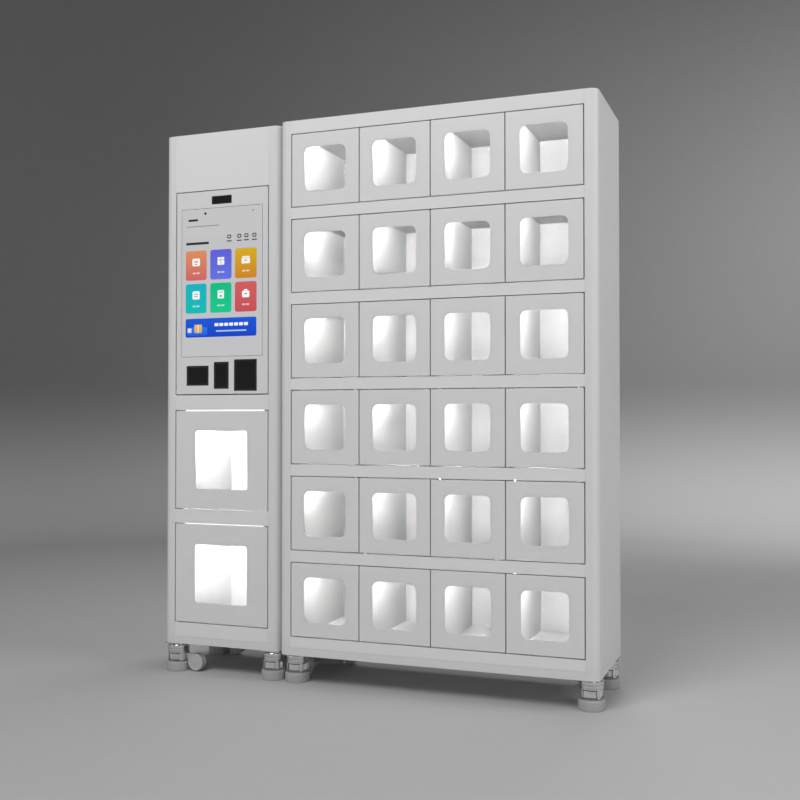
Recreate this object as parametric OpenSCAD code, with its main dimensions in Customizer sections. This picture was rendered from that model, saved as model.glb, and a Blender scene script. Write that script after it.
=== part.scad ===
// Parcel locker: a control cabinet and a locker cabinet side by side on levelling casters.
// Millimetres, +Z up, front faces -Y. Origin: middle of the footprint, on the floor.

/* [Cabinets] */
// Depth of the locker cabinet, from its door faces to its back
depth = 405; // [340:5:520]
// How far the control cabinet's front lies behind the locker cabinet's front
set_back = 31; // [20:1:50]
// Space between the two cabinets
cabinet_gap = 17; // [12:1:30]
// Outer radius of the rolled front corners
corner_r = 25; // [15:1:30]
// Front stile, from the door opening to the outside of the cabinet
stile_w = 43; // [38:1:60]
// Thickness of the cabinet sheets
sheet = 1.5; // [1.2:0.1:2]
// Thickness of the shelf, wall and door sheets
thin_sheet = 1.2; // [1:0.1:1.5]
// Height of the base tray under each cabinet
tray_h = 28; // [20:1:36]
// Thickness of the base tray
tray_sheet = 2.5; // [2:0.1:4]

/* [Locker doors] */
// Width of a locker door
leaf_w = 251; // [200:1:310]
// Height of a locker door
leaf_h = 251; // [205:1:305]
// Gap round each door
leaf_gap = 3.5; // [3.2:0.1:4.5]
// Depth of a door's folded edge
leaf_t = 18; // [16:1:22]
// Width and height of a locker door's window
window_w = 154; // [100:1:160]
// Corner radius of a locker door's window
window_r = 22; // [8:1:30]
// Front rail between two rows of doors
row_rail = 38.5; // [30:0.5:60]
// Front rail above the top row
head_rail = 45.5; // [30:0.5:80]
// Front rail under the bottom row, with the tray
foot_rail = 64; // [50:0.5:90]

/* [Control cabinet doors] */
// Width of the three doors of the control cabinet
control_w = 374; // [365:1:460]
// Height of the door that carries the screen
control_h = 735; // [725:1:800]
// Height of each compartment door
compartment_h = 353; // [280:1:360]
// Width and height of a compartment door's window
compartment_window_w = 210; // [120:1:230]
// Corner radius of a compartment door's window
compartment_window_r = 10; // [5:1:25]
// Front rail under the lower compartment, with the tray
control_foot_rail = 77; // [60:0.5:90]
// Front rail between the compartments
compartment_rail = 49.5; // [40:0.5:60]
// Front rail between the upper compartment and the screen door
screen_rail = 53.5; // [40:0.5:60]

/* [Screen and readers] */
// Width of the touch screen's glass
screen_w = 332; // [300:1:340]
// Height of the touch screen's glass
screen_h = 538; // [480:1:545]
// Distance from the screen door's lower edge to the glass
screen_z = 135; // [130:1:150]
// Width of the camera window
camera_w = 82; // [60:1:90]
// Height of the camera window
camera_h = 30; // [20:1:34]
// Width of the code scanner, card reader and palm reader windows
reader_w = [92, 61, 92];
// Height of the same windows
reader_h = [72, 97, 113];

/* [Hinges and locks] */
// Diameter of a door's hinge pins
pin_d = 5; // [4:0.5:6]
// Radial play of a hinge pin in the rail
pin_play = 0.05; // [0.02:0.01:0.1]
// Hinge pin's distance from the door's edge and from its face
pin_inset = 6.5; // [6:0.1:6.8]
// Half the thickness of the walls between cells
wall_half = 20; // [18:0.5:26]
// Space between a closed door and the wall behind it
stop_gap = 2.5; // [2.2:0.1:4]
// Thickness of the window panes
pane_t = 4; // [3:0.5:6]

/* [Levelling casters] */
// Height from the floor to the base tray
caster_h = 102; // [96:1:130]
// Diameter of the foot pad
pad_d = 86; // [70:1:90]
// Height of the foot pad
pad_h = 34; // [28:1:36]
// Diameter of the swivel housing
housing_d = 78; // [64:1:80]
// Diameter of the wheels
wheel_d = 62; // [56:1:66]
// Width over the two wheel discs
wheel_w = 30; // [26:1:36]
// Distance from the swivel axis to the axle
trail = 78; // [77:1:90]
// Height of the wheels over the floor while the feet carry the load
wheel_lift = 2; // [1.5:0.5:3]
// Distance from a caster's axis to the cabinet's sides
caster_inset = 38; // [36:1:60]
// Distance from a front caster's axis to the control cabinet's front
caster_front = 36; // [36:1:80]
// Distance from a rear caster's axis to the cabinet's back
caster_rear = 43; // [36:1:80]

/* [Hidden] */
$fn = 64;
rows = 6;
columns = 4;

// Overall sizes
row_pitch = leaf_h + 2 * leaf_gap + row_rail;
column_pitch = leaf_w + leaf_gap;
locker_open_w = columns * column_pitch + leaf_gap;
control_open_w = control_w + 2 * leaf_gap;
locker_w = locker_open_w + 2 * stile_w;
control_cab_w = control_open_w + 2 * stile_w;
total_w = control_cab_w + cabinet_gap + locker_w;
body_h = foot_rail + rows * row_pitch - row_rail + head_rail;
control_depth = depth - set_back;
control_x = -total_w / 2;
locker_x = control_x + control_cab_w + cabinet_gap;
front_y = -depth / 2;
control_front_y = front_y + set_back;
wall_y = leaf_t + stop_gap;

// Openings of the control cabinet, from the tray's underside: [bottom, height]
lower_open = [control_foot_rail, compartment_h + 2 * leaf_gap];
upper_open = [lower_open[0] + lower_open[1] + compartment_rail, compartment_h + 2 * leaf_gap];
screen_open = [upper_open[0] + upper_open[1] + screen_rail, control_h + 2 * leaf_gap];
control_opens = [lower_open, upper_open, screen_open];

// Small fixed sizes
return_d = 18;
rear_flange = 18;
liner_reach = 12;
seam = 1;
seat = 0.05;
eps = 0.5;

// Door fittings
pin_r = pin_d / 2;
pin_bite = 15;
pin_end = 1.5;
press_play = 0.02;
hinge_bar = [12, 13];
pane_lap = 12;
tongue_t = 3;
tongue_h = 12;
tongue_in = 22;
tongue_edge = 8.75;
tongue_base = [6, 30];
slot_play = [1, 4];
slot_h = 18;
lock_size = [30, 50, 76];
led_size = [12, 9];
led_end = 8;
led_y = 3;

// Screen, readers and electronics
glass_t = 3;
screen_body = [300, 36, 500];
reader_z = 67;
reader_pitch = 98;
reader_body_t = 26;
camera_gap = 12;
camera_body_t = 22;
fit_play = 0.4;
computer = [220, 50, 180];
supply = [115, 50, 215];
lock_board = [90, 30, 200];
board_plate = [300, 2, 480];
board_plate_z = 160;
board_edge = 20;
inlet_size = [48, 22, 28];
inlet_socket = [25, 17, 17];
inlet_pin = [2, 14, 4, 7];
inlet_x = 110;
grommet_r = 10;
grommet_lip = 4;
grommet_x = 190;
vent_size = [70, 5];
vent_rows = 8;
vent_pitch = 14;
vent_z = 24;
entry_z = (tray_h + control_foot_rail) / 2;
anchor_r = 4.5;
anchor_drop = 60;
duct_r = 20;
duct_wall = 2;
spacer_r = 12;
spacer_y = 100;
spacer_z = 240;

// Caster fittings
plate_size = [72, 72, 4];
plate_bolt_r = 3;
plate_bolt_span = 54;
king_r = 8;
king_l = 10;
stem_r = 7;
turn_play = 0.05;
foot_up = 3;
housing_wall = 3;
housing_top = 9;
swivel_gap = 1;
boss_r = 13;
arm_t = 9;
arm_h = 24;
axle_r = 4;
disc_gap = 1;
pad_gap = 1;
nut_play = 2;
nut_r = housing_d / 2 - housing_wall - nut_play;
nut_h = 22;
nut_lift = 2;
post_room = 30;
nut_window = [housing_d - post_room, 1, 27];
housing_hi = caster_h - plate_size[2] - swivel_gap;
housing_lo = pad_h + foot_up + pad_gap;
axle_z = wheel_d / 2 + wheel_lift;

// Casters: name, cabinet (0 control, 1 locker), right side, rear, direction of the wheel
CASTERS = [
    ["control_front_left", 0, 0, 0, 0],
    ["control_front_right", 0, 1, 0, 90],
    ["control_rear_left", 0, 0, 1, 0],
    ["control_rear_right", 0, 1, 1, 180],
    ["locker_front_left", 1, 0, 0, 90],
    ["locker_front_right", 1, 1, 0, 90],
    ["locker_rear_left", 1, 0, 1, 0],
    ["locker_rear_right", 1, 1, 1, 180]
];

function caster_x(c) =
    (c[1] == 0 ? control_x : locker_x)
    + (c[2] == 0 ? caster_inset : (c[1] == 0 ? control_cab_w : locker_w) - caster_inset);
function caster_y(c) = c[3] == 0 ? control_front_y + caster_front : depth / 2 - caster_rear;
function door_name(r, c) = str("locker_door_r", r, "_c", c);
function row_z(r) = foot_rail + (rows - r) * row_pitch;
function column_x(c) = stile_w + (c - 1) * column_pitch;

FIXED = [
    "control_cabinet", "locker_cabinet", "cell_walls", "door_locks", "led_bars",
    "touch_screen", "reader_modules", "control_electronics", "caster_mounts"
];
CONTROL_DOORS = ["control_door", "compartment_door_upper", "compartment_door_lower"];
LOCKER_DOORS = [for (r = [1:rows]) for (c = [1:columns]) door_name(r, c)];
SWIVELS = [for (c = CASTERS) str("swivel_", c[0])];
WHEELS = [for (c = CASTERS) str("wheel_", c[0])];
FEET = [for (c = CASTERS) str("foot_", c[0])];

// ---- shared shapes ----

// Places its children in the control cabinet's own frame: x and y from its front left corner,
// z from the underside of its tray
module in_control() {
    translate([control_x, control_front_y, caster_h]) children();
}

// The same for the locker cabinet
module in_locker() {
    translate([locker_x, front_y, caster_h]) children();
}

// Rectangle with four round corners, its lower left corner at the origin
module round_rect(w, h, r) {
    translate([r, 0]) square([w - 2 * r, h]);
    translate([0, r]) square([w, h - 2 * r]);
    for (x = [r, w - r], y = [r, h - r]) translate([x, y]) circle(r);
}

// Plan of a cabinet with two round front corners, drawn in by inset on every side
module footprint(w, d, inset = 0) {
    r = corner_r - inset;
    translate([inset, corner_r]) square([w - 2 * inset, d - corner_r - inset]);
    translate([corner_r, inset]) square([w - 2 * corner_r, corner_r]);
    for (x = [corner_r, w - corner_r]) translate([x, corner_r]) circle(r);
}

// Upright plate in the XZ plane, t thick along Y from y = 0
module upright(t) {
    translate([0, t, 0]) rotate([90, 0, 0]) linear_extrude(t) children();
}

// ---- cabinets ----

// Left side sheet: side wall, rolled front corner, front stile, return and rear flange.
// Pieces that are fixed face to face keep a seat's width between them.
module side_sheet(d) {
    translate([0, 0, seat]) linear_extrude(body_h - tray_h - sheet - 2 * seat) {
        translate([0, corner_r]) square([sheet, d - corner_r]);
        intersection() {
            difference() {
                translate([corner_r, corner_r]) circle(corner_r);
                translate([corner_r, corner_r]) circle(corner_r - sheet);
            }
            square(corner_r);
        }
        translate([corner_r, 0]) square([stile_w - corner_r, sheet]);
        translate([stile_w - sheet, 0]) square([sheet, return_d]);
        translate([0, d - 2 * sheet - seat]) square([rear_flange, sheet]);
    }
}

module side_pair(w, d) {
    translate([0, 0, tray_h]) side_sheet(d);
    translate([w, 0, tray_h]) mirror([1, 0, 0]) side_sheet(d);
}

// Base tray with a bottom, a skirt all round and a narrow seam under the side sheets
module tray(w, d) {
    difference() {
        linear_extrude(tray_h) footprint(w, d);
        translate([0, 0, tray_sheet]) linear_extrude(tray_h) footprint(w, d, tray_sheet);
        translate([0, 0, tray_h - seam]) linear_extrude(seam + eps) difference() {
            translate([-eps, -eps]) square([w + 2 * eps, d + 2 * eps]);
            footprint(w, d, seam);
        }
    }
}

module roof(w, d) {
    translate([0, 0, body_h - sheet]) linear_extrude(sheet) footprint(w, d);
}

module back_panel(w, d) {
    translate([sheet + seat, d - sheet, tray_h + seat])
        cube([w - 2 * sheet - 2 * seat, sheet, body_h - tray_h - sheet - 2 * seat]);
}

// Hole for the cable duct, through a side sheet
module duct_hole() {
    translate([0, control_depth / 2, body_h / 2]) rotate([0, 90, 0])
        cylinder(r = duct_r, h = 3 * stile_w, center = true);
}

module control_cabinet() {
    color("white") in_control() {
        difference() {
            side_pair(control_cab_w, control_depth);
            translate([control_cab_w, 0, 0]) duct_hole();
        }
        tray(control_cab_w, control_depth);
        roof(control_cab_w, control_depth);
        difference() {
            back_panel(control_cab_w, control_depth);
            translate([control_cab_w - inlet_x, control_depth, entry_z])
                cube([inlet_size[0], 4 * sheet, inlet_size[2]], center = true);
            translate([control_cab_w - grommet_x, control_depth, entry_z])
                rotate([90, 0, 0]) cylinder(r = grommet_r + grommet_lip / 2, h = 4 * sheet, center = true);
            for (i = [0:vent_rows - 1], side = [-1, 1])
                translate([
                    control_cab_w / 2 + side * vent_size[0],
                    control_depth,
                    screen_open[0] + vent_z + i * vent_pitch
                ])
                    cube([vent_size[0], 4 * sheet, vent_size[1]], center = true);
        }
    }
}

// Spacers and cable duct that join the two cabinets
module joining_pieces() {
    y = control_depth / 2 + set_back;
    for (z = [spacer_z, body_h - spacer_z], side = [-1, 1])
        translate([-cabinet_gap / 2, y + side * spacer_y, z]) rotate([0, 90, 0])
            cylinder(r = spacer_r, h = cabinet_gap - 2 * seat, center = true);
    translate([-cabinet_gap / 2, y, body_h / 2]) rotate([0, 90, 0]) difference() {
        cylinder(r = duct_r + duct_wall, h = cabinet_gap - 2 * seat, center = true);
        cylinder(r = duct_r, h = cabinet_gap + 2 * eps, center = true);
    }
}

module locker_cabinet() {
    anchor_z = body_h - head_rail - anchor_drop;
    color("white") in_locker() {
        difference() {
            side_pair(locker_w, depth);
            translate([0, set_back, 0]) duct_hole();
        }
        tray(locker_w, depth);
        roof(locker_w, depth);
        difference() {
            back_panel(locker_w, depth);
            for (c = [1, columns])
                translate([column_x(c) + leaf_gap + leaf_w / 2, depth, anchor_z])
                    rotate([90, 0, 0]) cylinder(r = anchor_r, h = 4 * sheet, center = true);
        }
        joining_pieces();
    }
}

// ---- cells ----

// Folded shelf: floor sheet, front rail and ceiling sheet. Holes for the hinge pins of the
// doors under it and over it, where it has such doors.
module shelf(w, d, h, pins, under = true, over = true) {
    lo = under ? -eps : h / 2;
    hi = over ? h + eps : h / 2;
    difference() {
        cube([w, d - sheet, h]);
        translate([-eps, thin_sheet, thin_sheet]) cube([w + 2 * eps, d, h - 2 * thin_sheet]);
        for (x = pins)
            translate([x, pin_inset, lo]) cylinder(r = pin_r + pin_play, h = hi - lo);
    }
}

// Double wall between two cells: open at its back, with a slot for the door's tongue
module cell_wall(d, h) {
    difference() {
        translate([-wall_half, wall_y, seat])
            cube([2 * wall_half, d - sheet - wall_y, h - 2 * seat]);
        translate([thin_sheet - wall_half, wall_y + thin_sheet, -eps])
            cube([2 * (wall_half - thin_sheet), d, h + 2 * eps]);
        tongue_slot(h);
    }
}

// Wall at the outer end of a row of cells, to the right of the last cell
module end_wall(d, h, slotted) {
    difference() {
        translate([-wall_half, wall_y, seat])
            cube([wall_half + liner_reach, d - sheet - wall_y, h - 2 * seat]);
        translate([thin_sheet - wall_half, wall_y + thin_sheet, -eps])
            cube([wall_half + liner_reach + eps, d, h + 2 * eps]);
        if (slotted) tongue_slot(h);
    }
}

// Slot that the tongue passes through, placed from the middle of the gap beside the door
module tongue_slot(h) {
    x = tongue_edge + leaf_gap / 2;
    translate([-x - tongue_t / 2 - slot_play[0], wall_y - eps, (h - slot_h) / 2])
        cube([tongue_t + slot_play[0] + slot_play[1], thin_sheet + 2 * eps, slot_h]);
}

module locker_cells() {
    cell_h = leaf_h + 2 * leaf_gap;
    pins = [for (c = [1:columns]) (c - 1) * column_pitch + leaf_gap + pin_inset];
    translate([stile_w, 0, tray_h])
        shelf(locker_open_w, depth, foot_rail - tray_h, pins, under = false);
    for (r = [2:rows])
        translate([stile_w, 0, row_z(r) + cell_h]) shelf(locker_open_w, depth, row_rail, pins);
    translate([stile_w, 0, row_z(1) + cell_h])
        shelf(locker_open_w, depth, head_rail - sheet, pins, over = false);
    for (r = [1:rows]) translate([leaf_gap / 2, 0, row_z(r)]) {
        for (c = [2:columns]) translate([column_x(c), 0, 0]) cell_wall(depth, cell_h);
        translate([column_x(1), 0, 0]) mirror([1, 0, 0]) end_wall(depth, cell_h, false);
        translate([column_x(columns + 1), 0, 0]) end_wall(depth, cell_h, true);
    }
}

module control_cells() {
    pins = [leaf_gap + pin_inset];
    tops = [for (o = control_opens) o[0] + o[1]];
    starts = concat([tray_h], tops);
    ends = concat([for (o = control_opens) o[0]], [body_h - sheet]);
    for (i = [0:len(starts) - 1])
        translate([stile_w, 0, starts[i]])
            shelf(control_open_w, control_depth, ends[i] - starts[i], pins, i > 0, i < len(tops));
    for (o = control_opens) translate([leaf_gap / 2, 0, o[0]]) {
        translate([stile_w, 0, 0]) mirror([1, 0, 0]) end_wall(control_depth, o[1], false);
        translate([stile_w + control_w + leaf_gap, 0, 0]) end_wall(control_depth, o[1], true);
    }
}

module cell_walls() {
    color("gainsboro") {
        in_locker() locker_cells();
        in_control() control_cells();
    }
}

// Lock that holds a door's tongue, behind the slot in the wall
module lock() {
    x = tongue_edge + leaf_gap / 2;
    difference() {
        translate([-lock_size[0] / 2, wall_y + thin_sheet, -lock_size[2] / 2]) cube(lock_size);
        translate([-x - tongue_t / 2 - slot_play[0], wall_y, -slot_h / 2])
            cube([tongue_t + slot_play[0] + slot_play[1], tongue_in + 2 * slot_play[0], slot_h]);
    }
}

module door_locks() {
    color("silver") {
        in_locker() for (r = [1:rows], c = [2:columns + 1])
            translate([column_x(c) + leaf_gap / 2, 0, row_z(r) + leaf_gap + leaf_h / 2]) lock();
        in_control() for (o = control_opens)
            translate([stile_w + control_w + leaf_gap * 3 / 2, 0, o[0] + o[1] / 2]) lock();
    }
}

// Light bar under the ceiling of a cell, for a cell that is w wide between its doors' gaps
module led_bar(w) {
    inner = w - 2 * wall_half;
    translate([wall_half + led_end, wall_y + led_y, -led_size[1]])
        cube([inner - 2 * led_end, led_size[0], led_size[1]]);
}

module led_bars() {
    color("white") {
        in_locker() for (r = [1:rows], c = [1:columns])
            translate([column_x(c) + leaf_gap / 2, 0, row_z(r) + leaf_h + 2 * leaf_gap])
                led_bar(column_pitch);
        in_control() for (o = [lower_open, upper_open])
            translate([stile_w + leaf_gap / 2, 0, o[0] + o[1]]) led_bar(control_w + leaf_gap);
    }
}

// ---- doors ----

// Hinge pin standing out of the door's edge at z = 0, upwards
module hinge_pin() {
    translate([pin_inset, pin_inset, -pin_bite])
        cylinder(r = pin_r, h = pin_bite + leaf_gap + thin_sheet + pin_end);
}

module hinge_pins(h) {
    translate([0, 0, h]) hinge_pin();
    mirror([0, 0, 1]) hinge_pin();
}

// Bar inside the hinge edge that holds the two pins
module pin_bar(h) {
    difference() {
        translate([thin_sheet + seat, thin_sheet + seat, thin_sheet + seat])
            cube([hinge_bar[0], hinge_bar[1], h - 2 * thin_sheet - 2 * seat]);
        for (z = [-eps, h - pin_bite - seat])
            translate([pin_inset, pin_inset, z])
                cylinder(r = pin_r + press_play, h = pin_bite + seat + eps);
    }
}

// Tongue that enters the lock
module tongue(w, h) {
    x = w - tongue_edge;
    translate([x - tongue_t / 2, leaf_t - tongue_base[0], (h - tongue_base[1]) / 2])
        cube([tongue_edge + tongue_t / 2 - thin_sheet - seat, tongue_base[0], tongue_base[1]]);
    translate([x - tongue_t / 2, leaf_t - tongue_base[0], (h - tongue_h) / 2])
        cube([tongue_t, tongue_base[0] + stop_gap + tongue_in, tongue_h]);
}

// Folded door: front skin with its edges turned back, children cut from the skin
module door_pan(w, h) {
    difference() {
        cube([w, leaf_t, h]);
        translate([thin_sheet, thin_sheet, thin_sheet])
            cube([w - 2 * thin_sheet, leaf_t, h - 2 * thin_sheet]);
        for (z = [-eps, h - 2 * thin_sheet])
            translate([pin_inset, pin_inset, z])
                cylinder(r = pin_r + press_play, h = 3 * thin_sheet);
        children();
    }
}

// Everything that a windowed door is made of
module window_door(w, h, window, r) {
    x = (w - window) / 2;
    z = (h - window) / 2;
    door_pan(w, h)
        translate([x, -eps, z]) upright(thin_sheet + 2 * eps) round_rect(window, window, r);
    translate([x - pane_lap, thin_sheet + seat, z - pane_lap])
        upright(pane_t) round_rect(window + 2 * pane_lap, window + 2 * pane_lap, r);
    door_fittings(w, h);
}

module door_fittings(w, h) {
    pin_bar(h);
    hinge_pins(h);
    tongue(w, h);
}

module locker_door(r, c) {
    color("whitesmoke") in_locker()
        translate([column_x(c) + leaf_gap, 0, row_z(r) + leaf_gap])
            window_door(leaf_w, leaf_h, window_w, window_r);
}

module compartment_door(open) {
    color("whitesmoke") in_control()
        translate([stile_w + leaf_gap, 0, open[0] + leaf_gap])
            window_door(control_w, compartment_h, compartment_window_w, compartment_window_r);
}

// Frame of the screen door: x from the door's left edge, z from its lower edge
module on_control_door() {
    in_control() translate([stile_w + leaf_gap, 0, screen_open[0] + leaf_gap]) children();
}

function reader_x(i) = control_w / 2 + (i - 1) * reader_pitch;
camera_z = screen_z + screen_h + camera_gap;

module control_door() {
    color("whitesmoke") on_control_door() {
        door_pan(control_w, control_h) {
            translate([(control_w - screen_w) / 2, -eps, screen_z])
                cube([screen_w, thin_sheet + 2 * eps, screen_h]);
            translate([(control_w - camera_w) / 2, -eps, camera_z])
                cube([camera_w, thin_sheet + 2 * eps, camera_h]);
            for (i = [0:2])
                translate([reader_x(i) - reader_w[i] / 2, -eps, reader_z - reader_h[i] / 2])
                    cube([reader_w[i], thin_sheet + 2 * eps, reader_h[i]]);
        }
        door_fittings(control_w, control_h);
    }
}

// Touch screen: glass in the door's opening, housing behind it
module touch_screen() {
    color("dimgray") on_control_door() {
        translate([(control_w - screen_w) / 2 + fit_play, 0, screen_z + fit_play])
            cube([screen_w - 2 * fit_play, glass_t, screen_h - 2 * fit_play]);
        translate([
            (control_w - screen_body[0]) / 2,
            glass_t + seat,
            screen_z + (screen_h - screen_body[2]) / 2
        ])
            cube(screen_body);
    }
}

// Reader or camera: window flush in the door, body behind the skin
module module_unit(w, h, t) {
    translate([fit_play - w / 2, 0, fit_play - h / 2])
        cube([w - 2 * fit_play, thin_sheet, h - 2 * fit_play]);
    translate([-w / 2, thin_sheet + seat, -h / 2]) cube([w, t, h]);
}

module reader_modules() {
    color("black") on_control_door() {
        for (i = [0:2]) translate([reader_x(i), 0, reader_z])
            module_unit(reader_w[i], reader_h[i], reader_body_t);
        translate([control_w / 2, 0, camera_z + camera_h / 2])
            module_unit(camera_w, camera_h, camera_body_t);
    }
}

// ---- electronics behind the screen door ----

module control_electronics() {
    plate_y = control_depth - sheet - board_plate[1];
    color("darkgray") in_control() {
        translate([(control_cab_w - board_plate[0]) / 2, plate_y, screen_open[0] + board_plate_z]) {
            cube(board_plate);
            on_board((board_plate[0] - computer[0]) / 2, board_edge, computer);
            on_board(board_edge, 2 * board_edge + computer[2], supply);
            on_board(board_plate[0] - lock_board[0] - board_edge, 2 * board_edge + computer[2], lock_board);
        }
        translate([control_cab_w - inlet_x, control_depth, entry_z]) mains_inlet();
        translate([control_cab_w - grommet_x, control_depth, entry_z])
            rotate([90, 0, 0]) grommet();
    }
}

// Unit of the given size on the front of the mounting plate
module on_board(x, z, size) {
    translate([x, -size[1] - seat, z]) cube(size);
}

// Mains inlet: housing in the back panel, with a socket that opens backwards
module mains_inlet() {
    difference() {
        translate([0, -inlet_size[1] / 2, 0])
            cube([inlet_size[0] - fit_play, inlet_size[1], inlet_size[2] - fit_play], center = true);
        cube([inlet_socket[0], 2 * inlet_socket[1], inlet_socket[2]], center = true);
    }
    for (x = [-1, 0, 1]) translate([x * inlet_pin[3], -inlet_socket[1] + seat, 0])
        translate([-inlet_pin[0] / 2, 0, -inlet_pin[2] / 2])
            cube([inlet_pin[0], inlet_pin[1], inlet_pin[2]]);
}

// Grommet round the data cable's hole, flush with the back
module grommet() {
    rotate_extrude() {
        translate([grommet_r, 0]) square([grommet_lip / 2 - press_play, sheet]);
        translate([grommet_r, sheet]) square([grommet_lip, grommet_lip / 2]);
    }
}

// ---- casters ----

module at_caster(c) {
    translate([caster_x(c), caster_y(c), 0]) rotate([0, 0, c[4]]) children();
}

// Mounting plate bolted to the tray, with the king pin that the swivel turns on
module caster_mount() {
    translate([0, 0, caster_h - plate_size[2]]) difference() {
        translate([-plate_size[0] / 2, -plate_size[1] / 2, 0]) cube(plate_size);
        for (x = [-1, 1], y = [-1, 1])
            translate([x * plate_bolt_span / 2, y * plate_bolt_span / 2, -eps])
                cylinder(r = plate_bolt_r, h = plate_size[2] + 2 * eps);
    }
    translate([0, 0, caster_h - plate_size[2] - king_l]) cylinder(r = king_r, h = king_l);
}

module caster_mounts() {
    color("silver") for (c = CASTERS)
        translate([caster_x(c), caster_y(c), 0]) caster_mount();
}

// Bell housing, open at its foot, with a boss in the middle
module housing() {
    hollow_h = housing_hi - housing_lo - housing_top;
    difference() {
        cylinder(d = housing_d, h = housing_hi - housing_lo);
        translate([0, 0, -eps]) difference() {
            cylinder(d = housing_d - 2 * housing_wall, h = hollow_h + eps);
            translate([0, 0, nut_lift + nut_h]) cylinder(r = boss_r, h = housing_hi);
        }
        translate([-housing_d, -nut_window[0] / 2, nut_window[1]])
            cube([housing_d, nut_window[0], nut_window[2]]);
        translate([-nut_window[0] / 2, -housing_d, nut_window[1]])
            cube([nut_window[0], 2 * housing_d, nut_window[2]]);
    }
}

// Arm from the housing to the axle, between the two wheel discs
module arm() {
    translate([housing_d / 2 - housing_wall, -arm_t / 2, housing_lo])
        cube([trail - housing_d / 2 + housing_wall, arm_t, arm_h]);
    translate([trail, arm_t / 2, axle_z]) rotate([90, 0, 0]) cylinder(d = arm_h, h = arm_t);
    translate([trail - arm_h / 2, -arm_t / 2, axle_z])
        cube([arm_h, arm_t, housing_lo + arm_h - axle_z]);
}

// Swivel: housing and arm in one piece, and the adjusting nut on the foot's stem
module swivel() {
    difference() {
        union() {
            translate([0, 0, housing_lo]) housing();
            arm();
        }
        translate([0, 0, housing_lo]) cylinder(r = stem_r + turn_play, h = housing_hi);
        translate([0, 0, housing_hi - king_l])
            cylinder(r = king_r + turn_play, h = king_l + eps);
        translate([trail, arm_t, axle_z]) rotate([90, 0, 0])
            cylinder(r = axle_r + turn_play, h = 2 * arm_t);
    }
    translate([0, 0, housing_lo + nut_lift]) difference() {
        cylinder(r = nut_r, h = nut_h - turn_play);
        translate([0, 0, -eps]) cylinder(r = stem_r + turn_play, h = nut_h + 2 * eps);
    }
}

module caster_swivel(c) {
    color("lightgray") at_caster(c) swivel();
}

// Twin wheel: two discs on one axle
module caster_wheel(c) {
    disc_t = (wheel_w - arm_t) / 2 - disc_gap;
    color("gray") at_caster(c) translate([trail, 0, axle_z]) rotate([90, 0, 0]) {
        for (s = [0, 1]) mirror([0, 0, s]) translate([0, 0, arm_t / 2 + disc_gap]) difference() {
            cylinder(d = wheel_d, h = disc_t);
            translate([0, 0, -eps]) cylinder(r = axle_r + press_play, h = disc_t + 2 * eps);
        }
        cylinder(r = axle_r, h = wheel_w, center = true);
    }
}

// Foot: rubber pad, and the threaded stem that rises into the housing
module levelling_foot(c) {
    stem_top = housing_hi - king_l - foot_up - swivel_gap;
    color("darkgray") at_caster(c) {
        cylinder(d = pad_d, h = pad_h);
        translate([0, 0, pad_h + seat]) cylinder(r = stem_r, h = stem_top - pad_h - seat);
    }
}

// ---- drawing ----

control_cabinet();
locker_cabinet();
cell_walls();
door_locks();
led_bars();
touch_screen();
reader_modules();
control_electronics();
caster_mounts();
control_door();
compartment_door(upper_open);  // compartment_door_upper
compartment_door(lower_open);  // compartment_door_lower
for (r = [1:rows], c = [1:columns])
    locker_door(r, c);
for (c = CASTERS) {
    caster_swivel(c);
    caster_wheel(c);
    levelling_foot(c);
}
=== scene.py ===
"""Parcel locker: its cabinets, doors, screen and casters, dressed round the packed part."""

import math

import bmesh
import bpy
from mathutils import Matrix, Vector


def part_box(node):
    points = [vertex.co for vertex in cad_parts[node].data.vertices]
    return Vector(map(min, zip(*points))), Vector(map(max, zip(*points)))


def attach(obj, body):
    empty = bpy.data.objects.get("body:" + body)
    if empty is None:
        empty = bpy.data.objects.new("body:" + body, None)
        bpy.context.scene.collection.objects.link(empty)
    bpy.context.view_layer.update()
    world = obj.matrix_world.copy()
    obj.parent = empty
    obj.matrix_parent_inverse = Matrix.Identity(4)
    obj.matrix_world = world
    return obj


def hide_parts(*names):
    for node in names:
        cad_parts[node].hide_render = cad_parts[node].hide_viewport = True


bl_info = {
    "name": "Parcel Locker", "version": (1, 0, 0), "blender": (4, 5, 0),
    "location": "View3D > Sidebar > Parcel Locker",
    "description": "Parcel locker with a touch screen, windowed doors and levelling casters",
    "category": "Add Mesh",
}

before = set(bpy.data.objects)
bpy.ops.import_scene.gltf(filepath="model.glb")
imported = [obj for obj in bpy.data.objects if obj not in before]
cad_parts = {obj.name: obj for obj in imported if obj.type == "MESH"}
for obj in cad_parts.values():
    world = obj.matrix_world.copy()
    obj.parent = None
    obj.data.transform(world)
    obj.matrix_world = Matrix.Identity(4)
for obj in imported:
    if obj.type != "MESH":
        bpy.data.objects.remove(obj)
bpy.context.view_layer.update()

MM = 0.001
BASE = "cabinets"
BLACK = (0.012, 0.012, 0.013)

# Hair gap between pieces that touch
SEAT = 0.05 * MM

# Mains inlet and cable grommet, from the control casing's right side and from its foot
INLET = 110 * MM
GROMMET = 190 * MM
ENTRY = 52.5 * MM

LOCKER_DOORS = [f"locker_door_r{r}_c{c}" for r in range(1, 7) for c in range(1, 5)]
COMPARTMENT_DOORS = ["compartment_door_upper", "compartment_door_lower"]
CASTERS = [name[5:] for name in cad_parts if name.startswith("foot_")]


# ---- settings ----


def length(name, description, default):
    """A size in metres."""
    return bpy.props.FloatProperty(
        name=name, description=description, default=default, min=0, precision=4, unit="LENGTH"
    )


def colour(name, description, default):
    """A linear colour."""
    return bpy.props.FloatVectorProperty(
        name=name, description=description, default=default, min=0, max=1, size=3, subtype="COLOR"
    )


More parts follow.
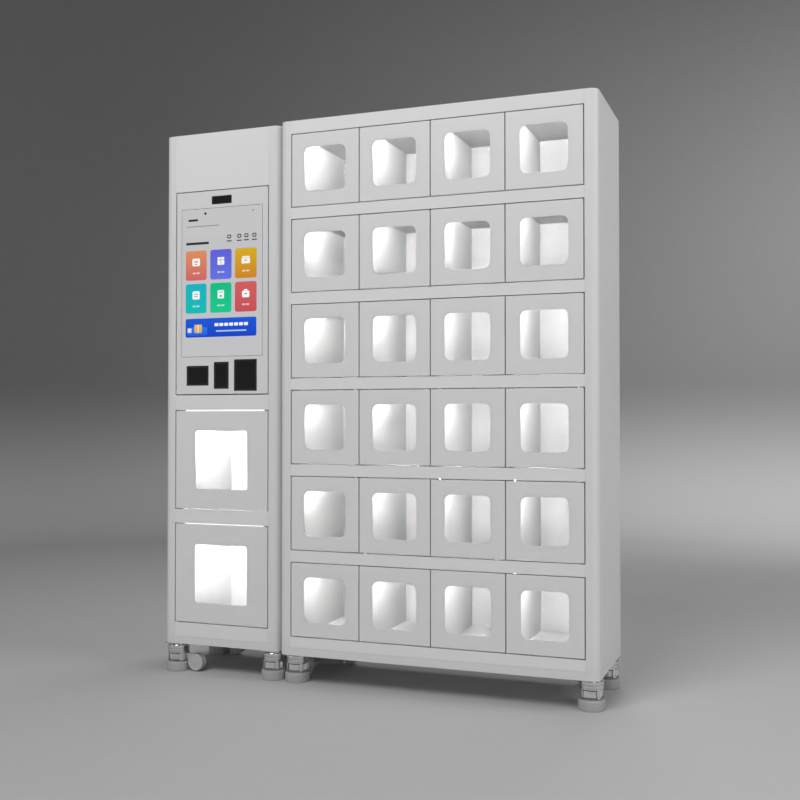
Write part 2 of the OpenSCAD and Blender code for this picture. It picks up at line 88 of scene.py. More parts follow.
def factor(name, description, default, top=1.0):
    """A plain number from 0 to top."""
    return bpy.props.FloatProperty(
        name=name, description=description, default=default, min=0, max=top
    )


class CabinetSettings(bpy.types.PropertyGroup):
    """Sizes of the two casings."""

    gap: length("Gap", "Space between the two cabinets", 17 * MM)
    sheet: length("Sheet", "Thickness of the casing sheets", 1.5 * MM)
    corner: length("Corner", "Outer radius of the rolled front corners", 25 * MM)
    stile: length("Stile", "Width of the front stile beside the doors", 43 * MM)
    stile_return: length("Return", "Depth of the stile's folded return", 18 * MM)
    flange: length("Rear flange", "Width of the flange behind which the back sheet sits", 18 * MM)
    edge: length("Edge", "Radius of the sheets' outer edges", 1.2 * MM)
    tray: length("Tray", "Height of the base tray", 28 * MM)
    seam: length("Seam", "Height and depth of the seam over the tray", 1 * MM)


class DoorSettings(bpy.types.PropertyGroup):
    """Sizes that the doors share."""

    sheet: length("Sheet", "Thickness of the door's sheet", 1.2 * MM)
    depth: length("Depth", "Depth of the folded edge", 18 * MM)
    gap: length("Gap", "Gap round a door", 3.5 * MM)
    edge: length("Edge", "Radius of the folded front edge", 1.6 * MM)
    pin_reach: length("Pin reach", "How far a hinge pin stands out of the door's edge", 6.2 * MM)
    pin_inset: length("Pin inset", "Pin's distance from the door's edge and face", 6.5 * MM)
    pin_radius: length("Pin radius", "Radius of the hinge pins", 2.5 * MM)
    window: length("Window", "Width and height of a locker door's window", 154 * MM)
    window_corner: length("Window corner", "Corner radius of that window", 22 * MM)
    wide_window: length("Compartment window", "Size of a compartment door's window", 210 * MM)
    wide_corner: length("Compartment window corner", "Corner radius of that window", 10 * MM)
    pane: length("Pane", "Thickness of a window pane", 4 * MM)
    pane_lap: length("Pane lap", "How far a pane reaches past its window", 12 * MM)


class ScreenSettings(bpy.types.PropertyGroup):
    """Sizes of the touch screen, the camera and the readers."""

    width: length("Width", "Width of the touch screen's opening", 332 * MM)
    height: length("Height", "Height of the touch screen's opening", 538 * MM)
    lift: length("Lift", "Opening's height over the door's lower edge", 135 * MM)
    glass: length("Glass", "Thickness of the screen's glass", 3 * MM)
    rim: length("Reader rim", "Width of the black rim round a reader's window", 7 * MM)
    brightness: factor("Brightness", "Strength of the screen's picture", 1.0, 10.0)


class CasterSettings(bpy.types.PropertyGroup):
    """Sizes of a levelling caster."""

    pad_height: length("Pad height", "Height of the rubber foot pad", 34 * MM)
    housing_low: length("Housing foot", "Height of the housing's lower edge", 38 * MM)
    housing_high: length("Housing top", "Height of the housing's upper edge", 97 * MM)
    window_low: length("Window foot", "Height of the lower edge of the housing's windows", 39 * MM)
    window_high: length("Window top", "Height of the upper edge of the housing's windows", 66 * MM)
    window: length("Window width", "Width of each of the housing's three windows", 48 * MM)
    nut_lobes: bpy.props.IntProperty(
        name="Nut lobes", description="Lobes round the adjusting nut", default=20, min=12
    )
    wheel_gap: length("Wheel gap", "Space between the two wheel discs", 11 * MM)


class FinishSettings(bpy.types.PropertyGroup):
    """Colours and strengths of the finishes."""

    powder: colour("Powder coat", "Outside of the casings and the doors", (0.80, 0.80, 0.80))
    liner: colour("Liner", "Shelves and walls of the cells", (0.84, 0.84, 0.84))
    dust: colour("Dust", "Dust near the floor", (0.40, 0.395, 0.385))
    rubber: colour("Rubber", "Foot pads", (0.46, 0.46, 0.46))
    wheel: colour("Wheel", "Wheel discs", (0.52, 0.52, 0.52))
    cell_glow: factor("Cell light", "Strength of a locker cell's light bar", 270.0, 5000.0)
    wide_glow: factor("Compartment light", "Strength of a compartment's light bar", 600.0, 5000.0)
    # Painted glow: the compartment bars' metal front lip is made to glow, standing in for light
    # from the bar, though the lip is no lamp.
    lip_painted_glow: factor("Compartment lip painted glow", "Glow of that bar's front lip", 1.6, 50.0)


class StageSettings(bpy.types.PropertyGroup):
    """Studio round the locker."""

    radius: length("Radius", "Radius of the flat floor", 4.6)
    wall: length("Wall height", "Height of the round backdrop", 6.0)
    floor: colour("Floor", "Colour of the floor", (0.53, 0.53, 0.53))
    # Darker wall colour that paints the backdrop's shade above the floor
    grey: colour("Backdrop", "Colour of the backdrop above the floor", (0.19, 0.19, 0.19))
    key: factor("Key light", "Power of the main softbox", 162.0, 2000.0)
    fill: factor("Side light", "Power of the side softbox", 54.0, 2000.0)
    back: factor("Backdrop light", "Power of the light on the backdrop", 64.0, 2000.0)
    rear: factor("Rear light", "Power of the softbox behind", 34.0, 2000.0)
    strip: factor("Strip lights", "Power of each of the two narrow lights", 9.0, 200.0)
    air: factor("Air", "Strength of the even light from all round", 0.19, 5.0)
    lens: bpy.props.FloatProperty(
        name="Lens", description="Focal length for a 36 mm sensor", default=47.64, min=10
    )


# ---- shapes ----


def mm(points):
    """Points in millimetres, in metres."""
    return [tuple(c * MM for c in point) for point in points]


def rounded(width, height, radius, centre=(0.0, 0.0), steps=6):
    """Outline of a rectangle with round corners, anticlockwise."""
    radius = max(radius, 0.02 * MM)
    x, y = width / 2 - radius, height / 2 - radius
    points = []
    for turn, (sx, sy) in enumerate(((1, 1), (-1, 1), (-1, -1), (1, -1))):
        middle = (centre[0] + sx * x, centre[1] + sy * y)
        points += arc(middle, radius, 90 * turn, 90, steps)
    return points


def arc(centre, radius, start, turn, steps):
    """Points of an arc round a centre, from an angle in degrees through a turn."""
    angles = [math.radians(start + turn * step / steps) for step in range(steps + 1)]
    return [(centre[0] + radius * math.cos(a), centre[1] + radius * math.sin(a)) for a in angles]


def circle(radius, steps=48):
    """Outline of a circle."""
    return arc((0, 0), radius, 0, 360, steps)[:-1]


def casing_plan(width, depth, corner, inset=0.0):
    """Plan of a cabinet with rolled front corners, drawn in by inset."""
    points = arc((corner, corner), corner - inset, 180, 90, 8)
    points += arc((width - corner, corner), corner - inset, 270, 90, 8)
    return points + [(width - inset, depth - inset), (inset, depth - inset)]


def upright(origin):
    """Places (right, up, depth) on a plate that faces -Y."""
    x, y, z = origin
    return lambda u, v, t: Vector((x + u, y + t, z + v))


def level(origin):
    """Places (right, back, height) on a flat plate."""
    x, y, z = origin
    return lambda u, v, t: Vector((x + u, y + v, z + t))


def across(origin):
    """Places (back, up, right) round an axis along X."""
    x, y, z = origin
    return lambda u, v, t: Vector((x + t, y + u, z + v))


class Form:
    """Closed solids gathered in one mesh. Each face keeps the number of its material."""

    def __init__(self):
        self.bm = bmesh.new()
        self.paint = None

    def skin(self, loops, closed=False, material=0):
        """Joins loops of equal count into a solid, capped unless its row of loops closes."""
        rows = [[self.bm.verts.new(point) for point in loop] for loop in loops]
        pairs = list(zip(rows, rows[1:]))
        if closed:
            pairs.append((rows[-1], rows[0]))
        made = []
        for a, b in pairs:
            for i in range(len(a)):
                j = (i + 1) % len(a)
                made.append(self.bm.faces.new((a[i], a[j], b[j], b[i])))
        if not closed:
            made.append(self.bm.faces.new(rows[0][::-1]))
            made.append(self.bm.faces.new(rows[-1]))
        for face in made:
            face.material_index = material
        return made

    def block(self, low, high, edge=0.6 * MM, material=0):
        """Block with rounded edges."""
        low, high = Vector(low), Vector(high)
        corners = bmesh.ops.create_cube(self.bm, size=1)["verts"]
        for corner in corners:
            corner.co = Vector(
                (low[i] + high[i]) / 2 + corner.co[i] * (high[i] - low[i]) for i in range(3)
            )
        for corner in corners:
            for face in corner.link_faces:
                face.material_index = material
        self.round_off((e for corner in corners for e in corner.link_edges), edge)

    def blocks(self, place, boxes, edge=0.6, material=0):
        """Blocks on a plate, each left, foot, near, right, top, far in millimetres."""
        for box in boxes:
            ends = [c * MM for c in box]
            self.block(place(*ends[:3]), place(*ends[3:]), edge * MM, material)

    def round_off(self, edges, size):
        """Rounds each of the edges once, in the order given."""
        if size:
            bmesh.ops.bevel(
                self.bm, geom=list(dict.fromkeys(edges)), offset=size, segments=2, profile=0.5,
                affect="EDGES", clamp_overlap=True,
            )

    def prism(self, outline, place, start, end, edge=0.0, material=0):
        """Outline drawn out from start to end, with the edges of both ends rounded."""
        faces = self.skin(
            [[place(u, v, start) for u, v in outline], [place(u, v, end) for u, v in outline]],
            material=material,
        )
        self.round_off((e for face in faces[-2:] for e in face.edges), edge)

    def turned(self, profile, place, steps=48, closed=False, material=0):
        """Turned solid: profile is a row of (radius, height) along the axis."""
        loops = [
            [place(u, v, height) for u, v in circle(max(radius, 0.01 * MM), steps)]
            for radius, height in profile
        ]
        self.skin(loops, closed, material)

    def pegs(self, place, spots, profile, steps, material=0, closed=False):
        """The same turned solid at several spots of a plate, in millimetres."""
        for u0, v0 in spots:
            spot = lambda u, v, t, u0=u0, v0=v0: place(u0 * MM + u, v0 * MM + v, t)
            self.turned(mm(profile), spot, steps, closed, material)

    def plate(self, xs, zs, holes, place, start, end, material=0):
        """Plate cut by the lines xs and zs, without the fields whose middle lies in a hole."""
        corners = {}

        def corner(i, j, t):
            if (i, j, t) not in corners:
                corners[i, j, t] = self.bm.verts.new(place(xs[i], zs[j], t))
            return corners[i, j, t]

        def solid(i, j):
            if not (0 <= i < len(xs) - 1 and 0 <= j < len(zs) - 1):
                return False
            u, v = (xs[i] + xs[i + 1]) / 2, (zs[j] + zs[j + 1]) / 2
            return not any(a < u < c and b < v < d for a, b, c, d in holes)

        for i in range(len(xs) - 1):
            for j in range(len(zs) - 1):
                if not solid(i, j):
                    continue
                ring = ((i, j), (i + 1, j), (i + 1, j + 1), (i, j + 1))
                faces = [[corner(*p, start) for p in ring], [corner(*p, end) for p in ring[::-1]]]
                sides = ((i, j - 1), (i + 1, j), (i, j + 1), (i - 1, j))
                for k, side in enumerate(sides):
                    if not solid(*side):
                        a, b = ring[k], ring[(k + 1) % 4]
                        faces.append(
                            [corner(*b, start), corner(*a, start), corner(*a, end), corner(*b, end)]
                        )
                for face in faces:
                    self.bm.faces.new(face).material_index = material

    def tile(self, outline, place, lift, colours, material=0):
        """Thin tile, painted with two colours that blend from its top to its foot."""
        if self.paint is None:
            self.paint = self.bm.loops.layers.float_color.new("Paint")
        faces = self.skin(
            [[place(u, v, 0) for u, v in outline], [place(u, v, -lift) for u, v in outline]],
            material=material,
        )
        high = max(v for _, v in outline)
        low = min(v for _, v in outline)
        first, last = (linear(c) for c in colours)
        base = place(0, 0, 0).z
        for face in faces:
            for loop in face.loops:
                share = (high - (loop.vert.co.z - base)) / max(high - low, MM / 100)
                mixed = [a + (b - a) * share for a, b in zip(first, last)]
                loop[self.paint] = (*mixed, 1.0)

    def mesh(self, name, smooth=50):
        """Finished mesh, with edges sharper than the angle smooth kept sharp."""
        bmesh.ops.recalc_face_normals(self.bm, faces=self.bm.faces)
        mesh = bpy.data.meshes.new(name)
        self.bm.to_mesh(mesh)
        self.bm.free()
        for polygon in mesh.polygons:
            polygon.use_smooth = True
        mesh.set_sharp_from_angle(angle=math.radians(smooth))
        return mesh


def linear(colour_255):
    """Linear colour of a display colour given from 0 to 255."""
    return [
        (c / 255 / 12.92) if c / 255 <= 0.04045 else ((c / 255 + 0.055) / 1.055) ** 2.4
        for c in colour_255
    ]


def place_piece(name, mesh, materials, body, nodes=(), at=(0, 0, 0), turn=0.0):
    """Object of that mesh, riding on a body and standing for the nodes."""
    if not mesh.materials:
        for material in materials:
            mesh.materials.append(material)
    piece = bpy.data.objects.new(name, mesh)
    bpy.context.scene.collection.objects.link(piece)
    piece.location = at
    piece.rotation_euler.z = turn
    normals = piece.modifiers.new("Flat faces", "WEIGHTED_NORMAL")
    normals.keep_sharp = True
    normals.weight = 100
    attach(piece, body)
    if nodes:
        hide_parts(*nodes)
    return piece


# ---- finishes ----


def wire(tree, socket, value):
    """Links a socket to another one, or sets its value."""
    if isinstance(value, bpy.types.NodeSocket):
        tree.links.new(value, socket)
    else:
        socket.default_value = value


def add(tree, kind, props=None, **inputs):
    """New node with its properties and inputs set. An input may be a socket or a value."""
    node = tree.nodes.new(kind)
    for key, value in (props or {}).items():
        setattr(node, key, value)
    for key, value in inputs.items():
        wire(tree, node.inputs[key.replace("_", " ")], value)
    return node


def blend_colours(tree, share, first, second):
    """Colour between first and second."""
    node = add(tree, "ShaderNodeMix", {"data_type": "RGBA"})
    for number, value in zip((0, 6, 7), (share, first, second)):
        wire(tree, node.inputs[number], value)
    return node.outputs[2]


def calculate(tree, operation, first, second):
    """Math node."""
    node = add(tree, "ShaderNodeMath", {"operation": operation})
    for socket, value in zip(node.inputs, (first, second)):
        wire(tree, socket, value)
    return node.outputs[0]


def ramp(tree, value, low=0.0, high=1.0, start=0.0, end=1.0, props=None):
    """A value from low to high, spread over start to end."""
    limits = {"From_Min": low, "From_Max": high, "To_Min": start, "To_Max": end}
    return add(tree, "ShaderNodeMapRange", props, Value=value, **limits).outputs["Result"]


def noise(tree, place, scale, detail, roughness=0.6, distortion=0.0):
    """Noise over the surface."""
    looks = {"Detail": detail, "Roughness": roughness, "Distortion": distortion}
    return add(tree, "ShaderNodeTexNoise", Vector=place, Scale=scale, **looks).outputs["Fac"]


def effect(name, inputs, outputs):
    """Empty node group with named sockets, and its two end nodes."""
    tree = bpy.data.node_groups.new(name, "ShaderNodeTree")
    for label, kind, default in inputs:
        socket = tree.interface.new_socket(name=label, in_out="INPUT", socket_type=kind)
        if default is not None:
            socket.default_value = default
    for label, kind in outputs:
        tree.interface.new_socket(name=label, in_out="OUTPUT", socket_type=kind)
    return tree, tree.nodes.new("NodeGroupInput"), tree.nodes.new("NodeGroupOutput")


def surface_grain():
    """Node group: fine relief of a coated or moulded surface, and a broad change of gloss."""
    if "Surface Grain" in bpy.data.node_groups:
        return bpy.data.node_groups["Surface Grain"]
    tree, start, end = effect(
        "Surface Grain", [("Place", "NodeSocketVector", None), ("Size", "NodeSocketFloat", 600.0)],
        [("Height", "NodeSocketFloat"), ("Gloss", "NodeSocketFloat")],
    )
    place = start.outputs["Place"]
    wire(tree, end.inputs["Height"], noise(tree, place, start.outputs["Size"], 3.0))
    wire(tree, end.inputs["Gloss"], noise(tree, place, 9.0, 4.0))
    return tree


def masked_effect(name, second, extra):
    """Node group that blends a second colour into the first by a mask, still to be wired."""
    grey = ("NodeSocketColor", (0.6, 0.6, 0.6, 1))
    return effect(
        name,
        [
            ("Place", "NodeSocketVector", None),
            ("Colour", *grey),
            (second, "NodeSocketColor", (0.4, 0.4, 0.4, 1)),
            *[(label, "NodeSocketFloat", value) for label, value in extra.items()],
        ],
        [("Colour", "NodeSocketColor"), ("Mask", "NodeSocketFloat")],
    )


def finish_mask(tree, start, end, pattern, second):
    """Strength of the pattern, and the colours blended by it."""
    mask = calculate(tree, "MULTIPLY", pattern, start.outputs["Amount"])
    mixed = blend_colours(tree, mask, start.outputs["Colour"], start.outputs[second])
    wire(tree, end.inputs["Colour"], mixed)
    wire(tree, end.inputs["Mask"], mask)
    return tree


def handling_marks():
    """Node group: rubbed and scuffed patches, stronger on edges."""
    if "Handling Marks" in bpy.data.node_groups:
        return bpy.data.node_groups["Handling Marks"]
    tree, start, end = masked_effect("Handling Marks", "Mark Colour", {"Amount": 0.2})
    patches = noise(tree, start.outputs["Place"], 14.0, 6.0, 0.7, 0.6)
    pointed = add(tree, "ShaderNodeNewGeometry").outputs["Pointiness"]
    rims = calculate(tree, "MULTIPLY", ramp(tree, pointed, 0.52, 0.60), patches)
    both = calculate(tree, "MAXIMUM", ramp(tree, patches, 0.56, 0.78), rims)
    return finish_mask(tree, start, end, both, "Mark Colour")


def floor_dust():
    """Node group: dust that thins out upwards from the floor."""
    if "Floor Dust" in bpy.data.node_groups:
        return bpy.data.node_groups["Floor Dust"]
    tree, start, end = masked_effect("Floor Dust", "Dust Colour", {"Reach": 0.3, "Amount": 0.3})
    height = add(tree, "ShaderNodeSeparateXYZ", Vector=start.outputs["Place"]).outputs["Z"]
    share = calculate(tree, "DIVIDE", height, start.outputs["Reach"])
    patches = noise(tree, start.outputs["Place"], 40.0, 5.0, 0.7)
    broken = calculate(tree, "MULTIPLY", ramp(tree, share, start=1.0, end=0.0), patches)
    return finish_mask(tree, start, end, broken, "Dust Colour")


def place_effect(tree, group, **inputs):
    """Node group placed in a material, with its inputs set."""
    return add(tree, "ShaderNodeGroup", {"node_tree": group}, **inputs)


def blank(name):
    """New material with its node tree, its shader and the place on the piece."""
    material = bpy.data.materials.new(name)
    material.use_nodes = True
    tree = material.node_tree
    place = tree.nodes.new("ShaderNodeTexCoord").outputs["Object"]
    return material, tree, tree.nodes["Principled BSDF"], place


def finish(
    name, base, roughness, gloss_change=0.08, metallic=0.0, grain=600.0, relief=0.12,
    marks=0.15, dust=0.0, dust_reach=0.3, **shader_inputs,
):
    """Opaque finish: a base colour with marks and dust, uneven gloss and a fine relief."""
    if name in bpy.data.materials:
        return bpy.data.materials[name]
    material, tree, shader, place = blank(name)
    grainy = place_effect(tree, surface_grain(), Place=place, Size=grain)
    height, gloss = grainy.outputs["Height"], grainy.outputs["Gloss"]
    dark, light, worn = ((*[c * share for c in base], 1) for share in (0.95, 1.05, 0.8))
    grained = blend_colours(tree, height, dark, light)
    looks = {"Place": place, "Colour": grained, "Mark_Colour": worn, "Amount": marks}
    surface = place_effect(tree, handling_marks(), **looks).outputs["Colour"]
    if dust:
        dust_colour = (*bpy.context.scene.locker_finish.dust, 1)
        looks = {"Colour": surface, "Dust_Colour": dust_colour, "Reach": dust_reach, "Amount": dust}
        surface = place_effect(tree, floor_dust(), Place=place, **looks).outputs["Colour"]
    wire(tree, shader.inputs["Base Color"], surface)
    span = (roughness - gloss_change, roughness + gloss_change)
    wire(tree, shader.inputs["Roughness"], ramp(tree, gloss, 0.3, 0.7, *span))
    bump = add(tree, "ShaderNodeBump", Height=height, Strength=relief, Distance=0.4 * MM)
    wire(tree, shader.inputs["Normal"], bump.outputs["Normal"])
    for key, value in {"Metallic": metallic, **shader_inputs}.items():
        shader.inputs[key.replace("_", " ")].default_value = value
    return material


def powder_coat():
    settings = bpy.context.scene.locker_finish
    return finish("Powder coat", settings.powder, 0.46, dust=0.35, dust_reach=0.22, marks=0.10)


def door_coat():
    settings = bpy.context.scene.locker_finish
    return finish("Door powder coat", settings.powder, 0.46, marks=0.10)


def liner_coat():
    settings = bpy.context.scene.locker_finish
    return finish("Liner powder coat", settings.liner, 0.7, marks=0.06, Specular_IOR_Level=0.2)


def zinc_steel():
    looks = {"metallic": 0.8, "grain": 240.0, "relief": 0.05, "marks": 0.3}
    return finish("Zinc plated steel", (0.55, 0.56, 0.57), 0.48, **looks)


def chrome():
    looks = {"metallic": 1.0, "grain": 120.0, "relief": 0.02}
    return finish("Chrome", (0.86, 0.86, 0.87), 0.07, 0.03, **looks)


def satin_nickel():
    looks = {"metallic": 1.0, "grain": 300.0, "relief": 0.03}
    return finish("Satin nickel", (0.74, 0.74, 0.74), 0.15, 0.05, **looks)


def pad_rubber():
    settings = bpy.context.scene.locker_finish
    looks = {"grain": 900.0, "relief": 0.3, "marks": 0.5, "dust": 0.7, "dust_reach": 0.05}
    return finish("Pad rubber", settings.rubber, 0.62, **looks)


def wheel_plastic():
    settings = bpy.context.scene.locker_finish
    return finish("Wheel plastic", settings.wheel, 0.45, grain=500.0, relief=0.1, marks=0.4)


def black_plastic():
    return finish("Black plastic", BLACK, 0.42, grain=1200.0, relief=0.2, marks=0.3)


def smoked_glass():
    looks = {"grain": 60.0, "relief": 0.0, "marks": 0.1, "Coat_Weight": 0.6}
    return finish("Smoked glass", BLACK, 0.10, 0.04, **looks)


def board_green():
    return finish("Circuit board", (0.02, 0.12, 0.05), 0.4, grain=300.0, relief=0.15, marks=0.2)


def dark_metal():
    return finish("Dark anodised metal", (0.05, 0.05, 0.055), 0.4, metallic=0.6, relief=0.1)


def window_pane():
    """Clear acrylic: see-through from the front, and more of a mirror at a slant."""
    if "Clear pane" in bpy.data.materials:
        return bpy.data.materials["Clear pane"]
    material, tree, shader, place = blank("Clear pane")
    smears = place_effect(tree, surface_grain(), Place=place, Size=30.0).outputs["Gloss"]
    wire(tree, shader.inputs["Roughness"], ramp(tree, smears, 0.4, 0.8, 0.02, 0.08))
    slant = add(tree, "ShaderNodeLayerWeight", Blend=0.35).outputs["Fresnel"]
    wire(tree, shader.inputs["Alpha"], ramp(tree, slant, start=0.03, end=0.75))
    shader.inputs["Base Color"].default_value = (0.80, 0.82, 0.82, 1)
    shader.inputs["IOR"].default_value = 1.49
    return material


def light_cover(name, strength):
    """Frosted cover of a light bar, with a slightly uneven glow."""
    if name in bpy.data.materials:
        return bpy.data.materials[name]
    material, tree, shader, place = blank(name)
    frost = place_effect(tree, surface_grain(), Place=place, Size=500.0).outputs["Gloss"]
    glow = ramp(tree, frost, start=0.92)
    white = blend_colours(tree, glow, (0.8, 0.85, 0.9, 1), (1.0, 1.0, 1.0, 1))
    wire(tree, shader.inputs["Emission Color"], white)
    shader.inputs["Emission Strength"].default_value = strength
    shader.inputs["Base Color"].default_value = (0.8, 0.8, 0.8, 1)
    shader.inputs["Roughness"].default_value = 0.6
    return material


def display():
    """Picture of the touch screen under its glass."""
    if "Display" in bpy.data.materials:
        return bpy.data.materials["Display"]
    material, tree, shader, place = blank("Display")
    paint = add(tree, "ShaderNodeVertexColor", {"layer_name": "Paint"})
    smears = place_effect(tree, surface_grain(), Place=place, Size=40.0).outputs["Gloss"]
    wire(tree, shader.inputs["Roughness"], ramp(tree, smears, 0.3, 0.7, 0.08, 0.16))
    wire(tree, shader.inputs["Emission Color"], paint.outputs["Color"])
    shader.inputs["Emission Strength"].default_value = bpy.context.scene.locker_screen.brightness
    shader.inputs["Base Color"].default_value = (0.01, 0.01, 0.012, 1)
    return material


def backdrop_painted_shade(s):
    """Matt paint with painted shade: its colour darkens from the floor up the backdrop, standing in
    for the wall's shade.
    """
    material = finish("Backdrop painted shade", s.floor, 0.7, grain=260.0, relief=0.04, marks=0.03)
    tree = material.node_tree
    colour = tree.nodes["Principled BSDF"].inputs["Base Color"]
    place = tree.nodes.new("ShaderNodeTexCoord").outputs["Object"]
    height = add(tree, "ShaderNodeSeparateXYZ", Vector=place).outputs["Z"]
    # Painted shade: the colour turns from the floor colour to the darker wall colour over the first
    # 1.3 m of height.
    rise = ramp(tree, height, high=1.3, props={"interpolation_type": "SMOOTHSTEP"})
    wire(tree, colour, blend_colours(tree, rise, colour.links[0].from_socket, (*s.grey, 1)))
    return material


# ---- casings ----


def side_profile(depth, s):
    """Plan of the left side sheet: return, stile, rolled corner, side and rear flange."""
    outer = [(s.stile, s.stile_return)]
    outer += arc((s.stile - s.edge, s.edge), s.edge, 0, -90, 3)
    outer += arc((s.corner, s.corner), s.corner, 270, -90, 10)
    outer.append((0, depth))
    hook = depth - s.sheet - SEAT
    inner = [(s.sheet, depth), (s.sheet, hook), (s.flange, hook), (s.flange, hook - s.sheet)]
    inner.append((s.sheet, hook - s.sheet))
    inner += arc((s.corner, s.corner), s.corner - s.sheet, 180, 90, 10)
    inner += [(s.stile - s.sheet, s.sheet), (s.stile - s.sheet, s.stile_return)]
    return outer + inner


def build_casing(form, low, high, s):
    """Side sheets, roof and base tray between two corners."""
    width, depth = high[0] - low[0], high[1] - low[1]
    floor, top = low[2] + s.tray, high[2] - s.sheet
    left = level((low[0], low[1], 0))
    profile = side_profile(depth, s)
    form.prism(profile, left, floor, top)
    form.prism([(width - u, v) for u, v in profile], left, floor, top)
    roof = [(0.0, 0.0), (0.0, 0.6), (0.25, 0.9), (0.7, 1.0)]
    lip, curl = 2.5 * MM, 0.8 * MM
    ledge = s.tray - s.seam
    steps = [(lip, 0), (curl, 0), (0, curl), (0, ledge), (s.seam, ledge), (s.seam, s.tray)]
    steps += [(lip, s.tray), (lip, lip)]
    for rows in (
        [(inset * MM, top + up * s.sheet) for inset, up in roof],
        [(inset, low[2] + up) for inset, up in steps],
    ):
        form.skin(
            [
                [left(u, v, z) for u, v in casing_plan(width, depth, s.corner, inset)]
                for inset, z in rows
            ]
        )


def back_sheet(form, low, high, s, holes):
    """Back sheet with rectangular holes."""
    xs, zs = grid_of(holes)
    xs = sorted(xs | {low[0] + s.sheet, high[0] - s.sheet})
    zs = sorted(zs | {low[2] + s.tray, high[2] - s.sheet})
    form.plate(xs, zs, holes, upright((0, high[1] - s.sheet, 0)), 0, s.sheet)


def grid_of(holes):
    """Lines along the edges of the holes."""
    xs = {x for hole in holes for x in (hole[0], hole[2])}
    zs = {z for hole in holes for z in (hole[1], hole[3])}
    return xs, zs


class LOCKER_OT_control_casing(bpy.types.Operator):
    """Casing of the narrow cabinet that carries the screen"""

    bl_idname = "locker.control_casing"
    bl_label = "Control casing"

    def execute(self, context):
        s = context.scene.locker_cabinet
        low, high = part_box("control_cabinet")
        form = Form()
        build_casing(form, low, high, s)
        vents = leaf_box("control_door")[0][2] + 20.5 * MM
        middle = (low[0] + high[0]) / 2
        entry, grommet = low[2] + ENTRY, high[0] - GROMMET
        cuts = [
            (middle + side * 70 * MM, vents + 14 * row * MM, 35, 2.5)
            for row in range(8)
            for side in (-1, 1)
        ]
        cuts += [(high[0] - INLET, entry, 24, 14), (grommet, entry, 14, 14)]
        holes = [(x - w * MM, z - h * MM, x + w * MM, z + h * MM) for x, z, w, h in cuts]
        back_sheet(form, low, high, s, holes)
        round_patch(form, (grommet, entry), 14 * MM, 12 * MM, high[1] - s.sheet, s.sheet)
        mesh = form.mesh("control_casing")
        place_piece(
            "control_casing", mesh, [powder_coat()], BASE, ["control_cabinet"]
        )
        return {"FINISHED"}


def round_patch(form, centre, half, radius, y, thick):
    """Square plate with a round hole, at depth y."""
    place = upright((centre[0], y, centre[1]))
    hole = circle(radius, 32)
    rim = []
    for u, v in hole:
        reach = half / max(abs(u), abs(v))
        rim.append((u * reach, v * reach))
    loops = [(rim, 0), (hole, 0), (hole, thick), (rim, thick)]
    form.skin([[place(u, v, t) for u, v in outline] for outline, t in loops], closed=True)


class LOCKER_OT_locker_casing(bpy.types.Operator):
    """Casing of the cabinet with the locker doors, its spacers and cable duct"""

    bl_idname = "locker.locker_casing"
    bl_label = "Locker casing"

    def execute(self, context):
        s = context.scene.locker_cabinet
        low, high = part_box("locker_cabinet")
        control_low, control_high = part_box("control_cabinet")
        low = Vector((control_high[0] + s.gap, low[1], low[2]))
        form = Form()
        build_casing(form, low, high, s)
        anchor_z = high[2] - 105.5 * MM
        half = 8 * MM
        doors = [leaf_box(f"locker_door_r1_c{column}") for column in (1, 4)]
        centres = [(door_low[0] + door_high[0]) / 2 for door_low, door_high in doors]
        holes = [(x - half, anchor_z - half, x + half, anchor_z + half) for x in centres]
        back_sheet(form, low, high, s, holes)
        for x in centres:
            round_patch(form, (x, anchor_z), half, 4.5 * MM, high[1] - s.sheet, s.sheet)
        y = (control_low[1] + control_high[1]) / 2
        start = 0.05 - s.gap / MM
        spacer = [(11.4, start), (12, start + 0.6), (12, -0.65), (11.4, -0.05)]
        for z in (low[2] + 240 * MM, high[2] - 240 * MM):
            form.pegs(across((low[0], y, z)), [(-100, 0), (100, 0)], spacer, 32)
        duct = [(20, start), (22, start), (22, -0.05), (20, -0.05)]
        middle = across((low[0], y, (low[2] + high[2]) / 2))
        form.pegs(middle, [(0, 0)], duct, 48, closed=True)
        mesh = form.mesh("locker_casing")
        place_piece("locker_casing", mesh, [powder_coat()], BASE, ["locker_cabinet"])
        return {"FINISHED"}


class LOCKER_OT_cells(bpy.types.Operator):
    """Finish of the shelves, the walls between the cells and the locks"""

    bl_idname = "locker.cells"
    bl_label = "Cells and locks"

    def execute(self, context):
        for node, material in (("cell_walls", liner_coat()), ("door_locks", zinc_steel())):
            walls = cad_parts[node]
            walls.data.materials.clear()
            walls.data.materials.append(material)
        return {"FINISHED"}


